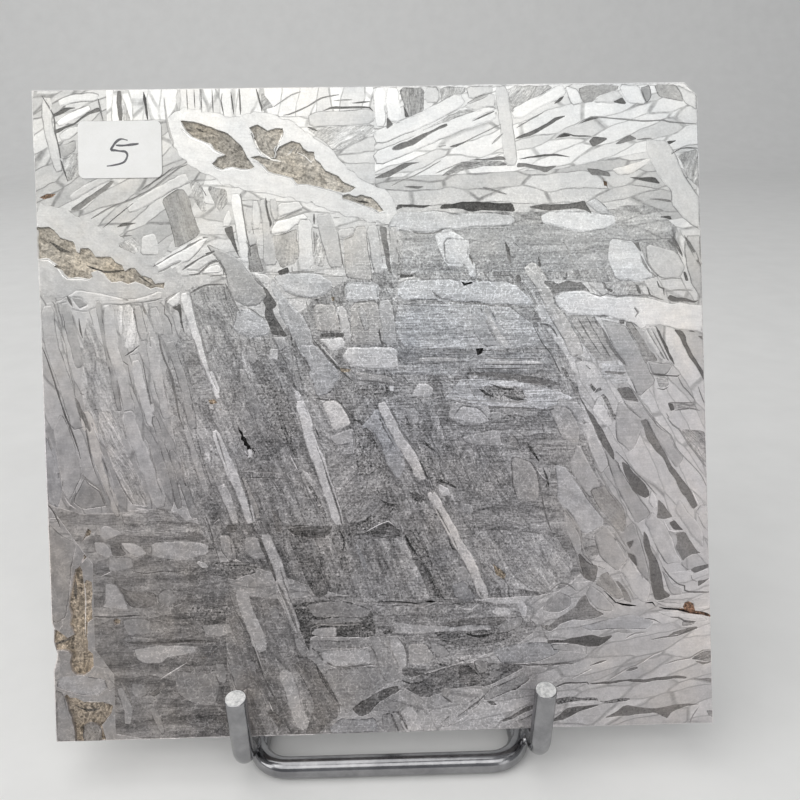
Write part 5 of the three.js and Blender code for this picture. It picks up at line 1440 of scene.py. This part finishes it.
FLOOR_SPACING = 0.4
NODULE_RANK = KINDS["nodule"][0]
floor_points = []
for crystal in crystals:
    if crystal.kind in ("nodule", "gold"):
        low_x = min(point.x for point in crystal.outline)
        high_x = max(point.x for point in crystal.outline)
        low_y = min(point.y for point in crystal.outline)
        high_y = max(point.y for point in crystal.outline)
        for column in range(int((high_x - low_x) / FLOOR_SPACING)):
            for row in range(int((high_y - low_y) / FLOOR_SPACING)):
                spot = Vector((low_x + (column + 0.5) * FLOOR_SPACING, low_y + (row + 0.5) * FLOOR_SPACING))
                spot += wander(spot, 7.0, 0.16, 3.0)
                if inside(spot, crystal.outline):
                    floor_points.append(spot)

face, owner_layer = planar_mesh(crystals, floor_points, NODULE_RANK)
print("planar mesh:", len(face.faces), "triangles,", len(floor_points), "floor points")

# %% [markdown]
# ## Etched relief
#
# Acid eats each kind of metal at its own speed. Every crystal is cut free along its border, its
# face is drawn in and raised or lowered, and the borders are welded again. The narrow rims that
# are left are the thin dark lines of nickel-rich metal round the plates. Each corner carries a rim
# value for the material: above zero where a border is dark, and below zero where a painted
# highlight is laid on the lamp-side walls of the nodules and on the ground bevel at the edge of
# the slice.

# %% The relief
FACE_LEVEL = -0.028
WELD = 0.0005
PACKED = {"base": 1.0, "ground": 1.0, "field": 0.7, "dusk": 0.6, "scratch": 0.35}
finish_layer = face.faces.layers.float_color.new("finish")
grain_layer = face.faces.layers.float_vector.new("grain")
rim_layer = face.loops.layers.float.new("rim")
for item in face.faces:
    crystal = crystals[item[owner_layer]]
    item[finish_layer] = (crystal.tone, 0.5 + crystal.warmth * 0.2, crystal.hatch, crystal.pits)
    angle = math.atan2(crystal.direction.y, crystal.direction.x)
    item[grain_layer] = (angle, PACKED.get(crystal.kind, 0.0), crystal.seed)
    # Painted highlight: the ground bevel round the face gets a negative rim value, which lightens its colour
    # and takes off metal.
    if crystal.kind == "edge":
        for corner in item.loops:
            corner[rim_layer] = -0.6


def border_key(item):
    owner = item[owner_layer]
    return -1 if crystals[owner].kind in IN_NODULE else owner


borders = [
    edge for edge in face.edges
    if len(edge.link_faces) == 2 and border_key(edge.link_faces[0]) != border_key(edge.link_faces[1])
]
bmesh.ops.split_edges(face, edges=borders)
groups = {}
for item in face.faces:
    crystal = crystals[item[owner_layer]]
    groups.setdefault((crystal.relief(), crystal.step_in, crystal.level), []).append(item)
FAINT_BORDER = ("base", "ground", "halo", "field", "dusk", "scratch")
# The direction on the face towards the lamp. Nodule walls that face it get a painted highlight.
LIT_SIDE = Vector((-0.45, -0.9))
for (relief, step_in, level), items in groups.items():
    if relief == "edge":
        continue
    made = bmesh.ops.inset_region(
        face, faces=items, thickness=max(step_in, 0.02), depth=level,
        use_boundary=True, use_even_offset=False)
    rims = set(made["faces"])
    for rim in rims:
        outer = [corner for corner in rim.loops if rims.issuperset(corner.vert.link_faces)]
        # Painted highlight and shade: nodule walls facing the lamp side get a pale, less metallic colour that
        # grows brighter towards the top of the face, and the other walls a darker brown.
        if relief == "nodule" and outer:
            outer_middle = sum((corner.vert.co for corner in outer), Vector()) / len(outer)
            outward = outer_middle - rim.calc_center_median()
            lit = outward.xy.normalized().dot(LIT_SIDE) > 0.15
            shine = min(1.0, 0.15 + outer[0].vert.co.y / 75)
            rim[finish_layer] = (0.62 + 0.33 * shine, 0.50, 0.0, 0.0) if lit else (0.66, 0.56, 0.2, 0.8)
            for corner in rim.loops:
                corner[rim_layer] = -shine if lit else 0.0
            continue
        for corner in outer:
            place = Vector((corner.vert.co.x, corner.vert.co.y, 7))
            patchy = 0.62 + 0.9 * noise.noise(place * 0.35) + 0.3 * noise.noise(place * 1.3)
            corner[rim_layer] = min(1.0, max(0.05, patchy)) * (0.35 if relief in FAINT_BORDER else 1.0)
            corner[rim_layer] *= 0.5 if relief == "wedge" else 1.0
bmesh.ops.remove_doubles(face, verts=face.verts, dist=WELD)

nodule_owners = {number for number, crystal in enumerate(crystals) if crystal.kind in IN_NODULE}
for vertex in face.verts:
    floor = all(item[owner_layer] in nodule_owners for item in vertex.link_faces)
    if floor and vertex.co.z < -0.2:
        place = Vector((vertex.co.x, vertex.co.y, 2.5))
        broad = noise.noise(place * 0.55)
        fine = noise.noise(place * 1.5)
        grit = noise.noise(place * 5.3)
        vertex.co.z += 0.16 * broad + 0.18 * fine + 0.05 * grit
    vertex.co.z += FACE_LEVEL
for vertex in face.verts:
    if vertex.is_boundary:
        vertex.co.z = -EDGE_BREAK
print("relief:", sum(len(item.verts) - 2 for item in face.faces), "triangles")

# %% [markdown]
# ## Back and sides
#
# The crystals run right through the thin slice, so the back shows the same pattern mirrored,
# shifted a little because few plates stand square to the cut. The shift fades out near the edges,
# so that both outlines still match. The sides were sawn and only lightly ground, so they stay a
# little uneven.

# %% The back and the sides
SIDE_STEPS = 4
FADE = 12
front_geometry = list(face.verts) + list(face.edges) + list(face.faces)
copied = bmesh.ops.duplicate(face, geom=front_geometry)
back_vertices = [part for part in copied["geom"] if isinstance(part, bmesh.types.BMVert)]
back_faces = [part for part in copied["geom"] if isinstance(part, bmesh.types.BMFace)]
for vertex in back_vertices:
    vertex.co.z = -THICKNESS - vertex.co.z
    if vertex.is_boundary:
        continue
    reach_x = min(vertex.co.x + 1, FACE_WIDTH - vertex.co.x, FADE) / FADE
    reach_y = min(vertex.co.y, FACE_HEIGHT - vertex.co.y, FADE) / FADE
    reach = max(0.0, reach_x) * max(0.0, reach_y)
    vertex.co.x += reach * (0.9 + 0.9 * noise.noise(Vector((vertex.co.x, vertex.co.y, 20)) * 0.03))
    vertex.co.y += reach * (0.7 + 0.9 * noise.noise(Vector((vertex.co.y, vertex.co.x, 30)) * 0.03))
bmesh.ops.reverse_faces(face, faces=back_faces)
back_set = set(back_vertices)
ring = [edge for edge in face.edges if edge.is_boundary and edge.verts[0] not in back_set]
side_height = THICKNESS - 2 * EDGE_BREAK
middle_rings = []
for step in range(SIDE_STEPS):
    pushed = bmesh.ops.extrude_edge_only(face, edges=ring)
    moved = [part for part in pushed["geom"] if isinstance(part, bmesh.types.BMVert)]
    ring = [part for part in pushed["geom"] if isinstance(part, bmesh.types.BMEdge)]
    for side in (part for part in pushed["geom"] if isinstance(part, bmesh.types.BMFace)):
        side[owner_layer] = 0
        side[finish_layer] = (0.70, 0.51, 0.2, 0.4)
        side[grain_layer] = (0, 0, 0.4)
    for vertex in moved:
        vertex.co.z -= side_height / SIDE_STEPS
    if step < SIDE_STEPS - 1:
        middle_rings += moved
middle = Vector((49.8, 49))
for vertex in middle_rings:
    inward = (middle - vertex.co.xy).normalized()
    dent = 0.06 + 0.06 * noise.noise(vertex.co * 0.8)
    vertex.co.x += inward.x * dent
    vertex.co.y += inward.y * dent
bmesh.ops.remove_doubles(face, verts=face.verts, dist=WELD)
bmesh.ops.triangulate(face, faces=[item for item in face.faces if len(item.verts) > 4])
bmesh.ops.transform(face, matrix=face_to_row, verts=face.verts)
print("open edges:", sum(1 for edge in face.edges if len(edge.link_faces) != 2))

# %% [markdown]
# ## Etched iron
#
# Bare iron is a metal, so its colour shows only in what it reflects. Each crystal carries its tone,
# warmth, hatch and pits from the drawing, and noise adds what is too small to draw: streaks along
# the grain, level scratches from grinding, cloudy stains, and dark specks in the pitted parts.

# %% The iron
def face_place(shader):
    return shader.object_place(Location=SLICE_CORNER, Rotation=(FACE_TURN, 0, 0), Scale=(MM, MM, MM))


def iron_material():
    shader = Shader("etched_iron")
    place = face_place(shader)
    x, y, z = shader.split(place)
    finish = shader.node("ShaderNodeAttribute", {"attribute_name": "finish"}, output="Color")
    pits = shader.node("ShaderNodeAttribute", {"attribute_name": "finish"}, output="Alpha")
    tone, warmth, hatch = shader.split(finish)
    angle, cells, seed = shader.split(shader.attribute("grain"))
    rim = shader.node("ShaderNodeAttribute", {"attribute_name": "rim"}, output="Fac")
    wobble = shader.noise(shader.join(x, y, 3), 0.2, 2, 0.5)
    along = x * angle.maths("COSINE") + y * angle.maths("SINE")
    across = y * angle.maths("COSINE") - x * angle.maths("SINE") + (wobble - 0.5) * 1.6
    streak = shader.noise(shader.join(along * 0.25, across * 2.6, seed * 19), 1.0, 3, 0.6)
    fine_streak = shader.noise(shader.join(along * 0.9, across * 8, seed * 31), 1.0, 2, 0.5)
    beam = shader.noise(shader.join(along * 0.05, across * 0.6, 17), 1.0, 2, 0.5)
    level = shader.noise(shader.join(x * 0.14, y * 5, 4), 1.0, 4, 0.75)
    cloud = shader.noise(shader.join(x, y, 11), 0.12, 4, 0.6)
    mottle = shader.noise(shader.join(x, y, seed * 7), 0.7, 5, 0.66)
    grit = shader.noise(shader.join(x, y, z), 3.0, 3, 0.7)
    curl = 1 - (shader.noise(shader.join(x, y, 3), 1.1, 2, 0.5) * 2 - 1).maths("ABSOLUTE")
    cell_place = shader.join(along * 0.105, across * 0.44, seed * 5)
    cell_tone = shader.node("ShaderNodeTexVoronoi", {}, {"Vector": cell_place, "Scale": 1.0}, output="Color")
    cell_edge = shader.node(
        "ShaderNodeTexVoronoi", {"feature": "DISTANCE_TO_EDGE"}, {"Vector": cell_place, "Scale": 1.0})
    cell_grey = shader.split(cell_tone)[0]
    middle_band = x.step(36, 56) * (1 - x.step(84, 98)) * y.step(36, 52) * (1 - y.step(66, 76))
    upper_band = x.step(42, 56) * (1 - x.step(84, 98)) * y.step(60, 70) * (1 - y.step(78, 86))
    low_left = (1 - x.step(24, 64)) * (1 - y.step(14, 50))
    dull_and_shaded = x.step(8, 34) * (1 - x.step(66, 88)) * (1 - y.step(58, 82))
    calm = (dull_and_shaded + middle_band * 0.5 + low_left * 0.5).limited()
    even = tone + (0.70 - tone) * calm * 0.1
    combed = (streak - 0.5) * hatch * 0.5 + (fine_streak - 0.5) * hatch * 0.5
    wave = combed + (beam - 0.5) * hatch.maths("MINIMUM", 0.5) * 0.9
    coarse = (hatch * 1.5 + 0.4).limited()
    worn = (level - 0.5) * (0.14 + middle_band * 0.6 + dull_and_shaded * 0.30) * coarse
    cell_line = (1 - cell_edge.step(0.01, 0.055)) * cells * (mottle * 2.4 - 0.6).limited()
    border = (rim * 1.5 - mottle * 0.8 + (0.5 - grit) * (0.3 + calm * 1.2)).limited()
    golden = warmth.step(0.60, 0.64)
    worn_dark = calm * coarse * mottle.step(0.50, 0.62) * 0.6
    speckled = pits * (0.9 - golden * 0.6) + worn_dark + upper_band * 0.1
    speck = (1 - grit.step(0.36, 0.44)) * speckled
    # Painted glints: bright sparkle specks in the pitted parts, on the gold, in the calm middle and in the
    # upper band.
    calm_glints = calm * (1 - mottle.step(0.40, 0.52)) * 0.12
    sparkling = pits * (0.08 + golden * 0.1) + calm_glints + upper_band * 0.04
    spark = grit.step(0.56, 0.64) * sparkling
    # Painted highlight: negative rim values lighten the colour and take off metal on the lamp-side nodule
    # walls and on the bevel.
    lit_wall = (-rim).limited()
    blotch = (mottle - 0.5) * (0.12 + coarse * 0.15 + calm * coarse * 0.27)
    grainy = (hatch * 0.3 + dull_and_shaded * 0.2) * (1 - low_left * 0.6)
    gritty = (grit - 0.5) * (0.12 + pits * (0.3 - golden * 0.2) + grainy)
    # Painted highlight and shade on the gold nodules: bright ridges and dark folds of crumpled foil. The same
    # value also feeds the bump height.
    foil = shader.noise(shader.join(x, y, 21), 1.3, 1, 0.5)
    ridge = 1 - (foil * 2 - 1).maths("ABSOLUTE")
    crumple_light_and_relief = (ridge.step(0.86, 1.0) * 0.15 - foil.step(0.56, 0.72) * 0.16) * golden
    curly = curl.step(0.93, 1.0) * (calm * 0.7 + upper_band * 0.3 + 0.1) * 0.19
    plain_light = even + wave + worn + blotch + gritty + crumple_light_and_relief + curly + (cell_grey - 0.5) * cells * 0.10
    lines = cell_line * (0.18 + y.step(40, 80) * 0.08) + border * (0.10 + tone * 0.26)
    shaded = plain_light + spark - lines - speck * 0.28
    # Painted shade: the middle, the lower left and the foot of the face are darkened in the colour, partly
    # for their duller, finer etch and partly for the darker room they mirror. Clean bright plates there are
    # lifted back a little.
    foot = (1 - y.step(4, 28)) * x.step(28, 60)
    shade_and_dull_etch = (dull_and_shaded * (1 - y.step(28, 46) * 0.25) + low_left * 0.6) * (0.05 + hatch * 0.2) + foot * 0.055
    plate_lift_in_shade = tone.step(0.80, 0.86) * (1 - hatch.step(0.12, 0.20)) * (dull_and_shaded + foot * 0.6) * 0.05
    light = (shaded + (cloud - 0.5) * 0.18 - shade_and_dull_etch + plate_lift_in_shade + lit_wall * 0.2).limited()
    albedo = light ** 2.2
    grey = shader.join(albedo, albedo, albedo)
    cool = middle_band * 0.06 + dull_and_shaded * 0.03 + y.step(66, 84) * x.step(30, 55) * 0.04
    hue = (warmth + (cloud - 0.5) * 0.2 + low_left * 0.04 - cool).limited()
    tint = shader.ramp(hue, [
        (0.30, (0.88, 0.93, 1.0)), (0.50, (1.0, 0.985, 0.965)), (0.60, (1.0, 0.93, 0.83)),
        (0.72, (1.0, 0.84, 0.62)), (0.95, (1.0, 0.42, 0.22)),
    ])
    foot_tint = shader.blend(y.step(40, 80), (1.0, 0.972, 0.995), (1.0, 1.008, 1.0))
    colour = shader.blend(1.0, shader.blend(1.0, grey, tint, "MULTIPLY"), foot_tint, "MULTIPLY")
    height = wave * 0.6 + (blotch + gritty + crumple_light_and_relief) * 0.9 + (level - 0.5) * 0.2 + curly * 0.5
    return shader.finish(
        Base_Color=colour,
        Metallic=(1 - pits * 0.6 - lit_wall).limited(),
        Roughness=(0.38 + pits * 0.25 + (mottle - 0.5) * 0.2 + hatch * 0.08).limited(),
        Normal=shader.bump(height, 0.00010, 0.7),
    )


iron = iron_material()
make_piece("etched_slice", face, [iron], ["meteorite_slice"])

# %% [markdown]
# ## The number label
#
# A small paper label sits on the face near the top left corner, with a plain pen figure on it.
# It is cut from the same kind of planar mesh, then given the thickness of paper.

# %% The label
LABEL_WIDTH = 12.4
LABEL_HEIGHT = 8.5
LABEL_CENTRE = Vector((11.9, 89.15))
LABEL_CORNER = 0.9
LABEL_THICKNESS = 0.12
LABEL_LIFT = 0.04
PEN = (
    "13.1,90.5 12.2,90.7 11.4,90.3 10.6,89.2 11.2,89 11.9,88.9 12.7,88.8 13,88.2 12.6,87.4 11.7,87 9.9,86.7",
    "14.7,90 12.5,89.7 11.3,89.8",
)

paper_outline = []
for side_x, side_y, start in ((1, 1, 0), (-1, 1, 90), (-1, -1, 180), (1, -1, 270)):
    corner = LABEL_CENTRE + Vector((
        side_x * (LABEL_WIDTH / 2 - LABEL_CORNER), side_y * (LABEL_HEIGHT / 2 - LABEL_CORNER)))
    for step in range(7):
        angle = math.radians(start + 15 * step)
        paper_outline.append(corner + Vector((math.cos(angle), math.sin(angle))) * LABEL_CORNER)
sheets = [Crystal("base", paper_outline, Vector((1, 0)), 1)]
for number, stroke in enumerate(PEN):
    ink_outline = strip_outline(points_of(stroke), [0.36, 0.30], 0.6, 0.25, 50 + number)
    sheets.append(Crystal("wedge", ink_outline, Vector((1, 0)), 3))
label, ink_layer = planar_mesh(sheets, [], -5)
for item in label.faces:
    item.material_index = 1 if item[ink_layer] else 0
underside = bmesh.ops.extrude_face_region(label, geom=list(label.faces), use_keep_orig=True)
for part in underside["geom"]:
    if isinstance(part, bmesh.types.BMVert):
        part.co.z += LABEL_THICKNESS
for vertex in label.verts:
    vertex.co.z += LABEL_LIFT
bmesh.ops.recalc_face_normals(label, faces=label.faces)
bmesh.ops.transform(label, matrix=face_to_row, verts=label.verts)


def paper_material(name, ink):
    shader = Shader(name)
    place = face_place(shader)
    fibre = shader.noise(place, 3.0, 5, 0.7)
    patch = shader.noise(place, 0.3, 3, 0.5)
    if ink:
        colour = shader.ramp(fibre, [(0.3, (0.07, 0.07, 0.08)), (0.75, (0.20, 0.20, 0.21))])
    else:
        colour = shader.ramp(fibre * 0.5 + patch * 0.5, [
            (0.35, (0.89, 0.89, 0.87)), (0.65, (0.95, 0.95, 0.94))])
    return shader.finish(Base_Color=colour, Roughness=0.55, Normal=shader.bump(fibre, 0.00003, 0.4))


make_piece("paper_label", label, [paper_material("label_paper", False), paper_material("pen_ink", True)],
           ["number_label"])

# %% [markdown]
# ## Chromed wire
#
# The easel is round steel wire, cold bent and spot welded, then chromed. A round section is
# pushed along straight runs and spun round each bend, which is just what the bending tool does.
# Where two wires are welded, a small bead of metal fills the place between them.

# %% Bending wire
WIRE_RADIUS = 1.6
WIRE_SIDES = 28


def section_frame(place, heading):
    turn = Vector((0, 0, 1)).rotation_difference(heading)
    return Matrix.Translation(place) @ turn.to_matrix().to_4x4()


def push_run(bm, end, offset):
    made = bmesh.ops.extrude_face_region(bm, geom=end)
    vertices = [part for part in made["geom"] if isinstance(part, bmesh.types.BMVert)]
    bmesh.ops.translate(bm, verts=vertices, vec=offset)
    return [part for part in made["geom"] if isinstance(part, bmesh.types.BMFace)]


def spin_bend(bm, end, centre, axis, angle):
    parts = set(end)
    for item in end:
        parts |= set(item.edges) | set(item.verts)
    made = bmesh.ops.spin(
        bm, geom=list(parts), cent=centre, axis=axis, dvec=(0, 0, 0), angle=angle,
        steps=max(4, round(math.degrees(angle) / 9)), use_merge=False, use_duplicate=False, space=Matrix())
    return [part for part in made["geom_last"] if isinstance(part, bmesh.types.BMFace)]


def weld_bead(bm, place, radius, along):
    stretch = Matrix.Diagonal((1, 1, 1.5, 1))
    bmesh.ops.create_uvsphere(
        bm, u_segments=20, v_segments=12, radius=radius, matrix=section_frame(place, along) @ stretch)


def bent_wire(corners, bends, closed=False, beads=()):
    bm = bmesh.new()
    place = corners[0]
    heading = (corners[1] - corners[0]).normalized()
    bmesh.ops.create_circle(
        bm, cap_ends=True, segments=WIRE_SIDES, radius=WIRE_RADIUS, matrix=section_frame(place, heading))
    end = list(bm.faces)
    for corner, after, bend in zip(corners[1:], corners[2:], bends):
        leaving = (after - corner).normalized()
        turn = heading.angle(leaving)
        tangent = bend * math.tan(turn / 2)
        bend_start = corner - heading * tangent
        end = push_run(bm, end, bend_start - place)
        axis = heading.cross(leaving).normalized()
        centre = bend_start + axis.cross(heading).normalized() * bend
        end = spin_bend(bm, end, centre, axis, turn)
        place = corner + leaving * tangent
        heading = leaving
    end = push_run(bm, end, corners[-1] - place)
    caps = [item for item in bm.faces if len(item.verts) > 4]
    if closed:
        bmesh.ops.delete(bm, geom=caps, context="FACES")
        bmesh.ops.remove_doubles(bm, verts=bm.verts, dist=0.01)
    else:
        rims = [edge for item in caps for edge in item.edges]
        bmesh.ops.bevel(bm, geom=rims, offset=0.14, affect="EDGES", segments=2, profile=0.5, material=-1)
    for bead in beads:
        weld_bead(bm, *bead)
    bmesh.ops.recalc_face_normals(bm, faces=bm.faces)
    for item in bm.faces:
        item.smooth = len(item.verts) <= 4
        item.material_index = 0 if item.smooth else 1
    bmesh.ops.transform(bm, matrix=Matrix.Scale(MM, 4), verts=bm.verts)
    return bm


FRAME_X = 1.2
FRAME_HALF = 22.45
ARCH = (2.631, 63.151)
frame_side = ((-26.423, 17.780), (-24.641, 4.6), (-17.758, 4.6), ARCH)
frame_corners = [Vector((FRAME_X - FRAME_HALF, y, z)) for y, z in frame_side]
frame_corners += [Vector((FRAME_X + FRAME_HALF, y, z)) for y, z in reversed(frame_side)]
RING_X = 0.8
RING_HALF = 20.7
RING_FRONT = -23.591
RING_REAR = 26.409
ring_corners = [Vector((RING_X + x, y, WIRE_RADIUS)) for x, y in (
    (0, RING_FRONT), (RING_HALF, RING_FRONT), (RING_HALF, RING_REAR),
    (-RING_HALF, RING_REAR), (-RING_HALF, RING_FRONT), (0, RING_FRONT))]
strut_foot = Vector((FRAME_X, RING_REAR, WIRE_RADIUS))
strut_head = Vector((FRAME_X, *ARCH))
STRUT_SHORT = 1.75
strut_way = (strut_head - strut_foot).normalized() * STRUT_SHORT


def chrome_material():
    shader = Shader("chrome_wire")
    place = shader.object_place(Scale=(MM, MM, MM))
    haze = shader.noise(place, 0.35, 4, 0.6)
    fleck = shader.noise(place, 2.4, 3, 0.6)
    # Painted reflection: the chrome's colour is kept dark, standing in for dark surroundings mirrored in the
    # wire.
    colour = shader.ramp(haze, [(0.3, (0.24, 0.24, 0.25)), (0.7, (0.38, 0.38, 0.39))])
    return shader.finish(
        Base_Color=colour, Metallic=1.0, Roughness=0.10 + haze * 0.14 + (fleck - 0.5) * 0.08,
        Normal=shader.bump(fleck, 0.00002, 0.3))


def cut_end_material():
    shader = Shader("cut_steel")
    place = shader.object_place(Scale=(MM, MM, MM))
    fleck = shader.noise(place, 1.6, 4, 0.7)
    colour = shader.ramp(fleck, [(0.35, (0.55, 0.56, 0.56)), (0.6, (0.97, 0.97, 0.96))])
    return shader.finish(
        Base_Color=colour, Metallic=0.6, Roughness=0.5, Normal=shader.bump(fleck, 0.00015, 0.6))


chrome = chrome_material()
cut_steel = cut_end_material()
frame_bends = [3, 3, 16, 16, 3, 3]
make_piece("frame_bent", bent_wire(frame_corners, frame_bends), [chrome, cut_steel],
           ["easel_frame"])
ring_bends = [5, 5, 5, 5]
ring_beads = [(Vector((x, -20.2, 3.1)), 1.0, Vector((0, 1, 0))) for x in (-20.4, 22.45)]
make_piece("ring_bent", bent_wire(ring_corners, ring_bends, closed=True, beads=ring_beads), [chrome],
           ["easel_base_ring"])
strut_ends = [strut_foot + strut_way, strut_head - strut_way]
strut_beads = [(end, 1.85, Vector((1, 0, 0))) for end in strut_ends]
make_piece("strut_cut", bent_wire(strut_ends, [], beads=strut_beads), [chrome],
           ["easel_rear_strut"])

# %% [markdown]
# ## Table, backdrop and light
#
# The object stands on a plain pale table that curves up into a backdrop. The light is soft and
# comes from above and in front. A large lamp there brightens the top of the leaning face most,
# because the face mirrors that part of the room to the camera, while its foot mirrors the table
# edge and stays darker, and painted shade in the iron's colour darkens the foot further.

# %% The stage
def sweep_material():
    shader = Shader("pale_table")
    place = shader.object_place(Scale=(1, 1, 1))
    grain = shader.noise(place, 60, 4, 0.6)
    colour = shader.ramp(grain, [(0.3, (0.83, 0.83, 0.82)), (0.7, (0.87, 0.87, 0.86))])
    return shader.finish(Base_Color=colour, Roughness=0.7)


SWEEP_FRONT = -0.32
SWEEP_DEPTH = 0.9
SWEEP_BEND = 0.3
SWEEP_WALL = 1.6
sweep = bmesh.new()
bmesh.ops.create_grid(sweep, x_segments=1, y_segments=1, size=2.0)
for vertex in sweep.verts:
    vertex.co.y = SWEEP_DEPTH if vertex.co.y > 0 else SWEEP_FRONT
back_edge = [edge for edge in sweep.edges if all(vertex.co.y > 0 for vertex in edge.verts)]
bent = bmesh.ops.spin(
    sweep, geom=back_edge, cent=(0, SWEEP_DEPTH, SWEEP_BEND), axis=(1, 0, 0), dvec=(0, 0, 0),
    angle=math.radians(90), steps=16, use_merge=False, use_duplicate=False, space=Matrix())
raised = bmesh.ops.extrude_edge_only(
    sweep, edges=[part for part in bent["geom_last"] if isinstance(part, bmesh.types.BMEdge)])
for part in raised["geom"]:
    if isinstance(part, bmesh.types.BMVert):
        part.co.z += SWEEP_WALL
for item in sweep.faces:
    item.smooth = True
sweep_mesh = bpy.data.meshes.new("sweep")
bmesh.ops.recalc_face_normals(sweep, faces=sweep.faces)
sweep.to_mesh(sweep_mesh)
sweep.free()
sweep_mesh.materials.append(sweep_material())
sweep_object = bpy.data.objects.new("sweep", sweep_mesh)
bpy.context.scene.collection.objects.link(sweep_object)


def soft_lamp(name, place, target, width, height, power, colour):
    data = bpy.data.lights.new(name, "AREA")
    data.shape = "RECTANGLE"
    data.size = width
    data.size_y = height
    data.energy = power
    data.color = colour
    lamp = bpy.data.objects.new(name, data)
    bpy.context.scene.collection.objects.link(lamp)
    lamp.location = place
    lamp.rotation_euler = (Vector(target) - Vector(place)).to_track_quat("-Z", "Y").to_euler()


SLICE_MIDDLE = (0, 0, 0.05)
WARM_WHITE = (1.0, 0.99, 0.97)
soft_lamp("key", (-0.03, -0.70, 0.74), SLICE_MIDDLE, 1.3, 0.5, 3.3, WARM_WHITE)
soft_lamp("side", (0.55, -0.75, 0.16), SLICE_MIDDLE, 0.4, 0.5, 0.65, WARM_WHITE)
soft_lamp("fill", (-0.80, -0.45, 0.40), SLICE_MIDDLE, 0.5, 0.5, 1.6, WARM_WHITE)
soft_lamp("overhead", (-0.45, 0.0, 1.1), (0, 0.2, 0), 1.2, 1.2, 6.0, WARM_WHITE)
world = bpy.data.worlds.new("room")
world.use_nodes = True
world.node_tree.nodes["Background"].inputs["Color"].default_value = (0.94, 0.96, 1.0, 1)
world.node_tree.nodes["Background"].inputs["Strength"].default_value = 0.285
bpy.context.scene.world = world
bpy.context.scene.view_settings.view_transform = "Standard"
